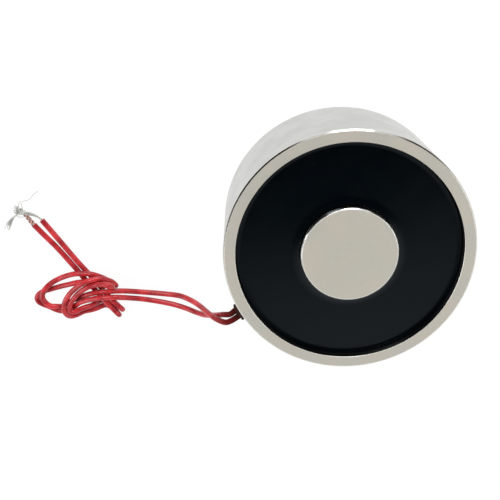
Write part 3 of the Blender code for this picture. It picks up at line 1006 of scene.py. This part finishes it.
@dataclass
class Pot:
    """The turned steel pot, with its rim, wall and back in one."""

    body: Body
    exit: Exit
    cool: tuple[float, float, float] = (0.79, 0.77, 0.685)
    warm: tuple[float, float, float] = (0.80, 0.745, 0.65)
    rim_chamfer: float = 0.5 * MM
    bore_chamfer: float = 0.15 * MM
    back_chamfer: float = 1.0 * MM
    fillet: float = 1.2 * MM
    plated_lip: float = 0.25 * MM
    softness: float = 0.04 * MM

    def build(self) -> bpy.types.Object:
        """Turn the pot, break its edges and drill the hole for the leads.

        Returns:
            The pot, in place of its CAD node.
        """
        body = self.body
        hole = body.spigot_radius + body.clearance
        shape = spun([(body.bore, body.height), (body.radius, body.height), (body.radius, 0.0),
                      (hole + body.stake_width, 0.0), (hole, body.stake_width), (hole, body.back),
                      (body.bore, body.back)], body.steps)
        chamfer_circle(shape, body.radius, body.height, self.rim_chamfer, (-1, -1), self.softness)
        chamfer_circle(shape, body.bore, body.height, self.bore_chamfer, (1, -1), self.softness)
        chamfer_circle(shape, body.radius, 0.0, self.back_chamfer, (-1, 1), self.softness)
        bevel_circle(shape, body.bore, body.back, self.fillet, 6)
        finish = SatinNickel("nickel_plated_pot", self.cool, self.warm, body.radius, body.height,
                             self.rim_chamfer, polished_inside=body.bore + self.softness,
                             polished_above=body.back, dark_bore_below=body.height - self.plated_lip)
        pot = finished("steel_pot", shape, finish.material())
        drill = bmesh.new()
        bmesh.ops.create_cone(drill, cap_ends=True, segments=64, radius1=self.exit.hole_radius,
                              radius2=self.exit.hole_radius, depth=3 * body.wall)
        bmesh.ops.transform(drill, matrix=self.exit.along(body.radius - body.wall / 2), verts=drill.verts)
        drilled(pot, finished("exit_drill", drill, pot.data.materials[0]))
        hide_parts("shell")
        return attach(pot, BODY)


@dataclass
class Pole:
    """The steel pole, with its staked spigot and its threaded screw hole."""

    body: Body
    cool: tuple[float, float, float] = (0.83, 0.80, 0.70)
    warm: tuple[float, float, float] = (0.83, 0.775, 0.665)
    # Painted highlight: a near-white ring round the face's edge and an edge colour brighter than the pot's
    # plated nickel make the bright line round the pole's edge.
    edge_colour: tuple[float, float, float] = (0.90, 0.89, 0.85)
    chamfer: float = 0.3 * MM
    painted_glint_width: float = 0.3 * MM
    screw_radius: float = 4.0 * MM
    screw_depth: float = 14.0 * MM
    countersink: float = 0.8 * MM
    drill_angle: float = math.radians(118.0)
    thread_pitch: float = 1.25 * MM
    thread_height: float = 0.66 * MM
    thread_steps: int = 40
    softness: float = 0.05 * MM

    def thread(self, shape: bmesh.types.BMesh) -> None:
        """Wind the ridge of the screw thread on the hole's wall.

        Args:
            shape: The pole's shape.
        """
        start = self.countersink + self.thread_pitch / 2
        turns = int((self.screw_depth - start) / self.thread_pitch)
        root, crest = self.screw_radius + self.softness, self.screw_radius - self.thread_height
        half, flat = self.thread_pitch * 0.42, self.thread_pitch * 0.08
        profile = [(root, -half), (crest, -flat), (crest, flat), (root, half)]
        points = [shape.verts.new((radius, 0.0, start + height)) for radius, height in profile]
        first = shape.faces.new(points)
        bmesh.ops.spin(shape, geom=[*points, *first.edges, first], cent=(0.0, 0.0, 0.0), axis=(0.0, 0.0, 1.0),
                       dvec=(0.0, 0.0, self.thread_pitch / self.thread_steps), angle=math.tau * turns,
                       steps=self.thread_steps * turns, use_merge=False)
        bmesh.ops.recalc_face_normals(shape, faces=shape.faces)

    def build(self) -> bpy.types.Object:
        """Turn the pole and cut its hole.

        Returns:
            The pole, in place of its CAD node.
        """
        body = self.body
        shoulder = body.back + body.clearance
        point = self.screw_radius / math.tan(self.drill_angle / 2)
        shape = spun([(0.0, body.height), (body.pole_radius, body.height), (body.pole_radius, shoulder),
                      (body.spigot_radius, shoulder), (body.spigot_radius, body.stake_width),
                      (body.spigot_radius + body.stake_width, 0.0),
                      (self.screw_radius + self.countersink, 0.0), (self.screw_radius, self.countersink),
                      (self.screw_radius, self.screw_depth), (0.0, self.screw_depth + point)],
                     body.steps, closed=False)
        chamfer_circle(shape, body.pole_radius, body.height, self.chamfer, (-1, -1), self.softness)
        self.thread(shape)
        finish = SatinNickel("nickel_plated_pole", self.cool, self.warm, body.pole_radius, body.height,
                             self.chamfer, polished_side=True, painted_glint_width=self.painted_glint_width,
                             edge_colour=self.edge_colour)
        pole = finished("steel_pole", shape, finish.material())
        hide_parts("core")
        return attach(pole, BODY)


@dataclass
class Resin:
    """The casting resin over and around the coil, with its raised edges at the pole and the rim."""

    body: Body
    finish: CastResin
    depth: float = 3.0 * MM
    cover: float = 1.8 * MM
    edge_radius: float = 12.0 * MM
    contact_angle: float = math.radians(75.5)
    rim_slope: float = math.radians(7.5)
    rim_reach: float = 1.6 * MM
    rim_rounding: float = 6.0 * MM
    edge_steps: int = 10
    bobbin_wall: float = 1.2 * MM
    bobbin_margin: float = 2.1 * MM
    fillet: float = 1.2 * MM
    winding_margin: float = 3.5 * MM
    tape: float = 0.4 * MM

    def arc(self, centre: tuple[float, float], radius: float, start: float,
            end: float) -> list[tuple[float, float]]:
        """Return the points of the arc of one raised edge.

        Args:
            centre: The arc's centre, as radius and height.
            radius: The arc's own radius.
            start: The arc's first angle.
            end: The arc's last angle.

        Returns:
            The points, as radius and height.
        """
        angles = [start + (end - start) * step / self.edge_steps for step in range(self.edge_steps + 1)]
        return [(centre[0] + radius * math.cos(angle), centre[1] + radius * math.sin(angle))
                for angle in angles]

    def build(self) -> bpy.types.Object:
        """Turn the resin.

        Returns:
            The resin, in place of its CAD node.
        """
        body = self.body
        level = body.height - self.depth
        inner = body.pole_radius + body.clearance
        outer = body.bore - body.clearance
        flange = body.bore - self.bobbin_margin + body.clearance
        coil = flange - self.winding_margin + self.tape + body.clearance
        bottom = body.back + body.clearance
        top = level - self.cover
        rise = self.edge_radius * math.cos(self.contact_angle)
        lip = self.bobbin_wall + body.clearance
        rounded = self.rim_rounding * (1.0 - math.cos(self.rim_slope))
        sloping = self.rim_reach - self.rim_rounding * math.sin(self.rim_slope)
        profile = [*self.arc((inner + rise, level + self.edge_radius), self.edge_radius,
                             math.pi + self.contact_angle, 1.5 * math.pi),
                   *self.arc((outer - self.rim_reach, level + self.rim_rounding), self.rim_rounding,
                             1.5 * math.pi, 1.5 * math.pi + self.rim_slope),
                   (outer, level + rounded + sloping * math.tan(self.rim_slope)),
                   (outer, bottom + self.fillet), (outer - self.fillet, bottom), (flange, bottom),
                   (flange, bottom + lip), (coil, bottom + lip), (coil, top - lip), (flange, top - lip),
                   (flange, top + body.clearance), (inner, top + body.clearance)]
        resin = finished("casting_resin", spun(profile, body.steps), self.finish.material())
        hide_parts("potting")
        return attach(resin, BODY)


@dataclass
class Sleeve:
    """The short varnished sleeve that guards the leads in the hole, with a ragged mouth."""

    exit: Exit
    finish: VarnishedSleeving
    steps: int = 64
    rings: int = 14
    ragged: float = 0.45 * MM
    threads: int = 40
    thread_radius: float = 0.17 * MM
    thread_length: tuple[float, float] = (0.8 * MM, 1.8 * MM)
    thread_lean: tuple[tuple[float, float], tuple[float, float]] = ((0.0, 0.7), (-0.15, 0.25))
    between_place: tuple[float, float] = (0.0, 0.3)
    between_stretch: float = 1.8
    round_place: tuple[float, float] = (0.9, 1.05)
    seed: int = 4

    def fray(self, shape: bmesh.types.BMesh, mouth: float, chance: random.Random) -> None:
        """Leave loose threads sticking out of the mouth, some of them between the leads.

        Args:
            shape: The sleeve's shape, with +Z outwards.
            mouth: The height of the mouth in the shape.
            chance: The source of their differences.
        """
        bore = self.exit.sleeve_bore
        for number in range(self.threads):
            turn = chance.uniform(0.0, math.tau)
            between = number % 2 == 0
            reach = bore * chance.uniform(*(self.between_place if between else self.round_place))
            length = chance.uniform(*self.thread_length) * (self.between_stretch if between else 1.0)
            start = Vector((reach * math.cos(turn), reach * math.sin(turn), mouth - self.ragged))
            lean = Vector((*(chance.uniform(*span) for span in self.thread_lean), 1.0)).normalized()
            made = bmesh.ops.create_cone(shape, cap_ends=True, segments=6, radius1=self.thread_radius,
                                         radius2=self.thread_radius / 3, depth=length)
            turned = lean.to_track_quat('Z', 'Y').to_matrix().to_4x4()
            where = Matrix.Translation(start + lean * length / 2) @ turned
            bmesh.ops.transform(shape, matrix=where, verts=made["verts"])

    def build(self) -> bpy.types.Object:
        """Turn the sleeve, lay it in the hole and fray its mouth.

        Returns:
            The sleeve, in place of its CAD node.
        """
        where = self.exit
        start = where.body.bore + where.body.clearance
        length = where.mouth - start
        inner, outer = where.sleeve_bore, where.sleeve_bore + where.sleeve_wall
        straight = length - where.sleeve_reach / 3
        lip = where.sleeve_lip
        shape = spun([(inner + lip, length), (outer + lip, length), (outer, straight),
                      (outer, 0.0), (inner, 0.0), (inner, straight)], self.steps)
        bmesh.ops.subdivide_edges(shape, edges=[edge for edge in shape.edges if abs(
            edge.verts[0].co.z - edge.verts[1].co.z) > length / 2], cuts=self.rings)
        chance = random.Random(self.seed)
        waves = [(chance.uniform(2, 9), chance.uniform(0, math.tau)) for _ in range(5)]
        for point in shape.verts:
            if point.co.z > straight:
                angle = math.atan2(point.co.y, point.co.x)
                fray = sum(math.sin(round(count) * angle + phase) for count, phase in waves) / len(waves)
                point.co.z -= self.ragged * (0.5 + 0.5 * fray)
        self.fray(shape, length, chance)
        bmesh.ops.transform(shape, matrix=where.along(start), verts=shape.verts)
        sleeve = finished("lead_sleeve", shape, self.finish.material())
        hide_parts("exit_sleeve")
        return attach(sleeve, BODY)


# The leads

# Each lead's route outside the magnet, in millimetres, from just past the sleeve's mouth to the end
# of the insulation. The knot is two loops with four folds.
LEAD_1_ROUTE = (
    (-37.4, -27.8, 27.00), (-39.8, -29.9, 24.40), (-43.2, -30.6, 20.20), (-46.2, -30.7, 15.20),
    (-49.8, -30.6, 8.90), (-53.3, -30.4, 4.60), (-57.1, -29.8, 2.40), (-62.8, -29.4, 1.40),
    (-70.2, -28.7, 1.40), (-77.0, -27.4, 3.10), (-80.9, -27.0, 4.00), (-83.9, -27.4, 3.70),
    (-86.8, -27.6, 3.80), (-89.9, -28.3, 3.40), (-92.8, -29.5, 2.40), (-95.7, -31.1, 1.20),
    (-98.7, -32.7, 1.05), (-101.3, -34.1, 1.60), (-103.2, -33.6, 2.90), (-105.3, -33.2, 3.30),
    (-107.0, -31.8, 3.30), (-107.9, -29.8, 3.30), (-107.4, -27.6, 3.30), (-106.0, -25.7, 3.00),
    (-104.1, -24.2, 2.40), (-101.8, -23.0, 1.90), (-99.1, -21.7, 2.40), (-95.6, -20.5, 3.15),
    (-91.9, -20.3, 3.20), (-89.0, -20.6, 3.20), (-86.3, -21.8, 2.60), (-84.1, -23.4, 1.60),
    (-82.5, -24.8, 1.10), (-81.3, -25.7, 1.15), (-80.7, -25.7, 1.95), (-80.8, -24.8, 2.95),
    (-82.0, -23.5, 3.30), (-84.2, -22.3, 4.10), (-86.5, -21.7, 5.00), (-89.4, -22.1, 5.60),
    (-92.4, -23.4, 5.60), (-95.3, -25.7, 4.90), (-97.9, -28.5, 4.20), (-99.6, -31.4, 3.80),
    (-100.3, -33.9, 3.70), (-100.0, -36.3, 3.20), (-98.6, -38.0, 2.20), (-96.3, -37.9, 1.20),
    (-93.6, -36.6, 1.05), (-90.9, -36.0, 1.05), (-88.6, -35.3, 1.05), (-86.7, -34.4, 1.05),
    (-85.0, -34.0, 1.05), (-83.4, -34.7, 1.05), (-82.0, -36.0, 1.05), (-80.8, -37.3, 1.30),
    (-80.2, -37.5, 2.20), (-80.7, -36.4, 3.10), (-82.3, -34.4, 3.20), (-84.2, -32.2, 3.20),
    (-86.0, -30.2, 2.70), (-87.7, -28.8, 1.40), (-89.7, -26.5, 1.05), (-92.0, -23.7, 1.05),
    (-94.3, -20.3, 1.05), (-97.1, -16.5, 1.05), (-101.8, -10.3, 1.05), (-105.1, -6.5, 1.05),
    (-108.8, -2.1, 1.05),
)
LEAD_2_ROUTE = (
    (-38.1, -26.4, 25.20), (-40.6, -28.8, 20.60), (-44.3, -32.3, 13.80), (-47.7, -34.5, 9.00),
    (-51.2, -35.2, 5.20), (-55.0, -34.7, 2.80), (-60.3, -33.5, 1.60), (-70.3, -31.4, 1.80),
    (-77.0, -29.8, 3.80), (-80.4, -29.0, 5.20), (-83.7, -28.9, 5.60), (-86.6, -29.1, 5.50),
    (-89.4, -29.9, 4.80), (-91.8, -30.8, 3.90), (-94.3, -32.0, 3.00), (-97.8, -35.0, 1.15),
    (-101.1, -36.4, 1.05), (-103.7, -35.9, 1.05), (-106.2, -34.6, 1.05), (-108.3, -33.7, 1.05),
    (-110.0, -32.6, 1.05), (-110.6, -31.1, 1.05), (-109.8, -29.5, 1.05), (-108.0, -28.3, 1.05),
    (-105.9, -27.6, 1.05), (-103.6, -26.9, 1.05), (-100.8, -26.0, 1.40), (-97.6, -24.9, 2.30),
    (-94.4, -23.9, 3.00), (-91.4, -23.6, 3.20), (-88.8, -23.7, 3.25), (-86.9, -24.1, 3.25),
    (-85.4, -24.5, 3.50), (-83.9, -24.6, 4.40), (-82.5, -24.7, 5.20), (-81.5, -24.5, 5.80),
    (-81.4, -23.9, 6.70), (-82.1, -23.3, 7.20), (-83.4, -23.1, 7.00), (-84.9, -23.2, 6.60),
    (-86.4, -23.4, 6.30), (-88.2, -23.9, 5.80), (-90.1, -24.6, 5.60), (-92.2, -25.9, 5.20),
    (-94.3, -27.7, 4.60), (-96.1, -29.8, 4.40), (-97.5, -31.8, 4.30), (-98.1, -33.7, 3.90),
    (-97.9, -35.1, 3.70), (-96.5, -35.6, 3.60), (-94.8, -34.8, 3.50), (-92.6, -33.9, 3.30),
    (-90.4, -33.4, 2.80), (-88.8, -32.8, 2.00), (-87.3, -32.3, 1.10), (-85.6, -31.8, 1.05),
    (-83.9, -31.9, 1.05), (-82.1, -32.9, 1.05), (-80.6, -34.4, 1.05), (-79.3, -35.4, 1.30),
    (-78.8, -35.3, 2.20), (-79.2, -34.4, 3.10), (-80.5, -32.9, 3.20), (-82.2, -31.0, 3.20),
    (-83.5, -29.8, 2.50), (-85.0, -28.8, 1.15), (-86.3, -27.1, 1.05), (-88.1, -24.5, 1.05),
    (-90.3, -21.6, 1.05), (-92.1, -19.3, 1.05), (-94.2, -16.6, 1.05), (-99.8, -8.7, 1.05),
    (-102.7, -4.6, 1.05), (-105.8, -0.3, 1.05),
)

# Each bare end's route, in millimetres, from the cut end of the insulation.
STRANDS_1_ROUTE = (
    (-109.0, -1.8, 1.00), (-110.1, -0.4, 0.85), (-111.2, 1.2, 0.70), (-112.4, 2.6, 0.65),
    (-113.7, 3.1, 0.60), (-114.9, 3.5, 0.60), (-116.0, 3.8, 0.60),
)
STRANDS_2_ROUTE = (
    (-106.0, -0.0, 1.05), (-107.4, 1.1, 1.15), (-108.7, 1.8, 1.35), (-110.0, 2.3, 1.60),
    (-111.1, 2.6, 1.90), (-112.4, 2.7, 1.90), (-113.8, 2.2, 1.30), (-115.4, 1.1, 0.60),
    (-116.9, -0.5, 0.50), (-118.0, -2.5, 0.50), (-118.7, -4.6, 0.50),
)

# Loose single strands of each bare end, in millimetres.
STRAYS_1 = (
    ((-113.2, 2.6, 0.9), (-113.5, 4.0, 1.2), (-113.1, 6.4, 1.8), (-112.2, 6.9, 2.2), (-108.8, 8.0, 2.4),
     (-107.7, 9.4, 2.2), (-105.9, 10.7, 1.6)),
    ((-112.3, 2.8, 0.9), (-112.2, 4.2, 1.3), (-112.4, 6.3, 1.6)),
)
STRAYS_2 = (
    ((-113.9, 1.8, 1.2), (-114.3, 0.9, 0.8), (-112.4, 0.6, 0.4)),
)


def in_metres(route: Iterable[tuple[float, float, float]]) -> list[Vector]:
    """Return a route's points as vectors in metres."""
    return [Vector(point) * MM for point in route]


@dataclass
class BareEnd:
    """The bare end of one lead: fine strands, twisted together and splayed at their tips."""

    name: str
    route: tuple[tuple[float, float, float], ...]
    finish: TinnedCopper
    bundles: int
    bundle_ring: float
    strays: tuple[tuple[tuple[float, float, float], ...], ...] = ()
    strand_radius: float = 0.10 * MM
    rings: tuple[tuple[int, float], ...] = ((1, 0.0), (6, 0.20 * MM))
    twist_pitch: float = 5.5 * MM
    splay_from: float = 0.55
    splay: float = 1.5
    wander: float = 0.5 * MM
    root: float = 0.6 * MM
    shortest: float = 0.84
    spacing: float = 0.3 * MM
    stray_spacing: float = 0.5 * MM
    seed: int = 1

    @staticmethod
    def drifting(chance: random.Random) -> Vector:
        """Draw the way that a tip drifts, mostly sideways."""
        return Vector((chance.uniform(-1, 1), chance.uniform(-1, 1), chance.uniform(-0.3, 0.8)))

    def starts(self, chance: random.Random) -> list[tuple[Vector, Vector]]:
        """Place the strands round the route.

        Args:
            chance: The source of small differences.

        Returns:
            For each strand, where it lies across the route, and the way that its tip drifts.
        """
        places = []
        for bundle in range(self.bundles + 1):
            turn = math.tau * bundle / self.bundles
            middle = Vector((math.cos(turn), math.sin(turn))) * (self.bundle_ring if bundle else 0.0)
            drift = self.drifting(chance)
            for count, ring in self.rings:
                for number in range(count):
                    turn = math.tau * number / count + chance.uniform(-0.2, 0.2)
                    place = middle + Vector((math.cos(turn), math.sin(turn))) * ring
                    places.append((place, drift + self.drifting(chance) * 0.4))
        return places

    def lines(self) -> list[list[Vector]]:
        """Work out each strand's line.

        Returns:
            One list of points for each strand.
        """
        chance = random.Random(self.seed)
        route = in_metres(self.route)
        inside = route[0] + (route[0] - route[1]).normalized() * self.root
        centre = smooth_line([inside, *route], self.spacing)
        total = line_length(centre)
        strands = [smooth_line(in_metres(stray), self.stray_spacing) for stray in self.strays]
        for place, drift in self.starts(chance):
            reach = chance.uniform(self.shortest, 1.0)
            side = Vector((0.0, 0.0, 1.0))
            travelled = 0.0
            strand = []
            for here, ahead in zip(centre, centre[1:]):
                forward = (ahead - here).normalized()
                side = (side - forward * side.dot(forward)).normalized()
                other = forward.cross(side)
                share = travelled / total
                if share > reach:
                    break
                opened = max(0.0, (share - self.splay_from) / (1 - self.splay_from))
                angle = math.tau * travelled / self.twist_pitch
                across = Matrix.Rotation(angle, 2) @ place * (1.0 + self.splay * opened)
                point = here + side * across.x + other * across.y + drift * self.wander * opened ** 2
                point.z = max(point.z, self.strand_radius)
                strand.append(point)
                travelled += (ahead - here).length
            strands.append(strand)
        return strands

    def build(self, node: str) -> bpy.types.Object:
        """Twist the strands.

        Args:
            node: The CAD node that they stand for.

        Returns:
            The strands, as one piece.
        """
        piece = wire_object(self.name, self.lines(), self.strand_radius, 6, self.finish.material())
        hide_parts(node)
        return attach(piece, BODY)


@dataclass
class Lead:
    """One insulated lead, from its splice in the resin to the cut end of its insulation."""

    number: int
    side: int
    route: tuple[tuple[float, float, float], ...]
    exit: Exit
    resin: Resin
    finish: SoftInsulation
    bend_radius: float = 3.6 * MM
    joint_half: float = 2.1 * MM
    tube_half: float = 3.6 * MM
    tube_wall: float = 0.4 * MM
    straight: float = 1.23 * MM
    spacing: float = 0.5 * MM
    sides: int = 16

    def inner_points(self) -> list[Vector]:
        """Work out the lead's route inside the magnet.

        Returns:
            The points, from its splice to the sleeve's mouth.
        """
        where, body = self.exit, self.exit.body
        winding = body.bore - self.resin.bobbin_margin - self.resin.winding_margin
        tape = winding + body.clearance + self.resin.tape
        splice = tape + body.clearance * 2 + where.lead_radius + self.tube_wall
        bend_start, reach = self.tube_half + self.straight, splice + self.bend_radius
        half_gap = where.lead_spacing / 2
        angle = (math.asin((half_gap + self.bend_radius) / math.hypot(reach, bend_start))
                 + math.atan2(bend_start, reach))
        points = []
        for toward in (self.joint_half + body.clearance, self.tube_half):
            out = splice * math.cos(angle) + toward * math.sin(angle)
            beside = splice * math.sin(angle) - toward * math.cos(angle)
            points.append(where.point(out, self.side * beside, where.height))
        turn = math.pi / 2 - angle
        bend_end = splice * math.cos(angle) + bend_start * math.sin(angle) + self.bend_radius * math.sin(turn)
        for step in range(4):
            left = turn * (1 - step / 3)
            points.append(where.point(bend_end - self.bend_radius * math.sin(left),
                                      self.side * (half_gap + self.bend_radius * (1 - math.cos(left))),
                                      where.height))
        points.append(where.point(where.mouth, self.side * half_gap, where.height))
        return points

    def build(self, bare_end: bpy.types.Object, sleeve: bpy.types.Object) -> bpy.types.Object:
        """Lay the lead.

        Args:
            bare_end: The strands at its far end; not used.
            sleeve: The sleeve that it leaves by; not used.

        Returns:
            The lead, in place of its CAD node.
        """
        line = smooth_line(self.inner_points() + in_metres(self.route), self.spacing)
        radius = self.exit.lead_radius
        lead = wire_object(f"red_lead_{self.number}", [line], radius, self.sides, self.finish.material())
        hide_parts(f"lead_{self.number}")
        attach(lead, BODY)
        mouth = self.exit.point(self.exit.mouth, self.side * self.exit.lead_spacing / 2, self.exit.height)
        line_length(line)
        return lead


# The hidden coil


def dress_coil(nodes: dict[str, bpy.types.Object]) -> None:
    """Give the pieces inside the resin their finishes.

    Args:
        nodes: The CAD nodes by name.
    """
    nylon = PlainStock("natural_nylon", (0.75, 0.72, 0.62), (0.66, 0.63, 0.53), 0.5).material()
    tape = PlainStock("yellow_film_tape", (0.72, 0.52, 0.10), (0.60, 0.42, 0.07), 0.3).material()
    solder = PlainStock("soft_solder", (0.62, 0.62, 0.62), (0.48, 0.48, 0.49), 0.35, 1.0, 0.5 * MM).material()
    tubing = VarnishedSleeving("splice_sleeving").material()
    wire = WoundWire().material()
    finishes = {"bobbin": nylon, "winding": wire, "coil_tape": tape, "splice_1": solder,
                "splice_2": solder, "splice_1_tube": tubing, "splice_2_tube": tubing}
    for name, material in finishes.items():
        nodes[name].data.materials.clear()
        nodes[name].data.materials.append(material)
        LOG.info("dressed %s", name)


def main() -> None:
    """Build the studio, then the magnet from its leads to its coil."""
    logging.basicConfig(level=logging.INFO, format="%(message)s")
    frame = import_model()
    low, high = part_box("shell")
    studio = Studio()
    studio.camera()
    body = Body(radius=(high.x - low.x) / 2, height=high.z - low.z)
    opening = Exit(body)
    resin = Resin(body, CastResin())
    sleeve = Sleeve(opening, VarnishedSleeving("varnished_sleeving")).build()
    mouth = opening.point(opening.mouth, 0.0, opening.height)
    insulation = SoftInsulation(tuple(mouth))
    cut_1, cut_2 = (in_metres(route)[0].to_tuple() for route in (STRANDS_1_ROUTE, STRANDS_2_ROUTE))
    bare_ends = (
        BareEnd("bare_end_1", STRANDS_1_ROUTE, TinnedCopper("worn_strands", cut_1, 5.5 * MM),
                bundles=3, bundle_ring=0.62 * MM, strays=STRAYS_1, twist_pitch=4.2 * MM),
        BareEnd("bare_end_2", STRANDS_2_ROUTE, TinnedCopper("tinned_strands", cut_2, 0.5 * MM),
                bundles=2, bundle_ring=0.40 * MM, strays=STRAYS_2, twist_pitch=24.0 * MM,
                splay_from=0.65, splay=0.8, seed=2),
    )
    pieces = [sleeve]
    for number, side, route, end in ((1, 1, LEAD_1_ROUTE, bare_ends[0]), (2, -1, LEAD_2_ROUTE, bare_ends[1])):
        bare_end = end.build(f"lead_{number}_strands")
        lead = Lead(number, side, route, opening, resin, insulation).build(bare_end, sleeve)
        pieces += [bare_end, lead]
    pieces.append(Pot(body, opening).build())
    pieces.append(Pole(body).build())
    pieces.append(resin.build())
    for piece in pieces:
        LOG.info("built %s", piece.name)
    dress_coil(frame["nodes"])
    studio.light()


if __name__ == "__main__":
    main()
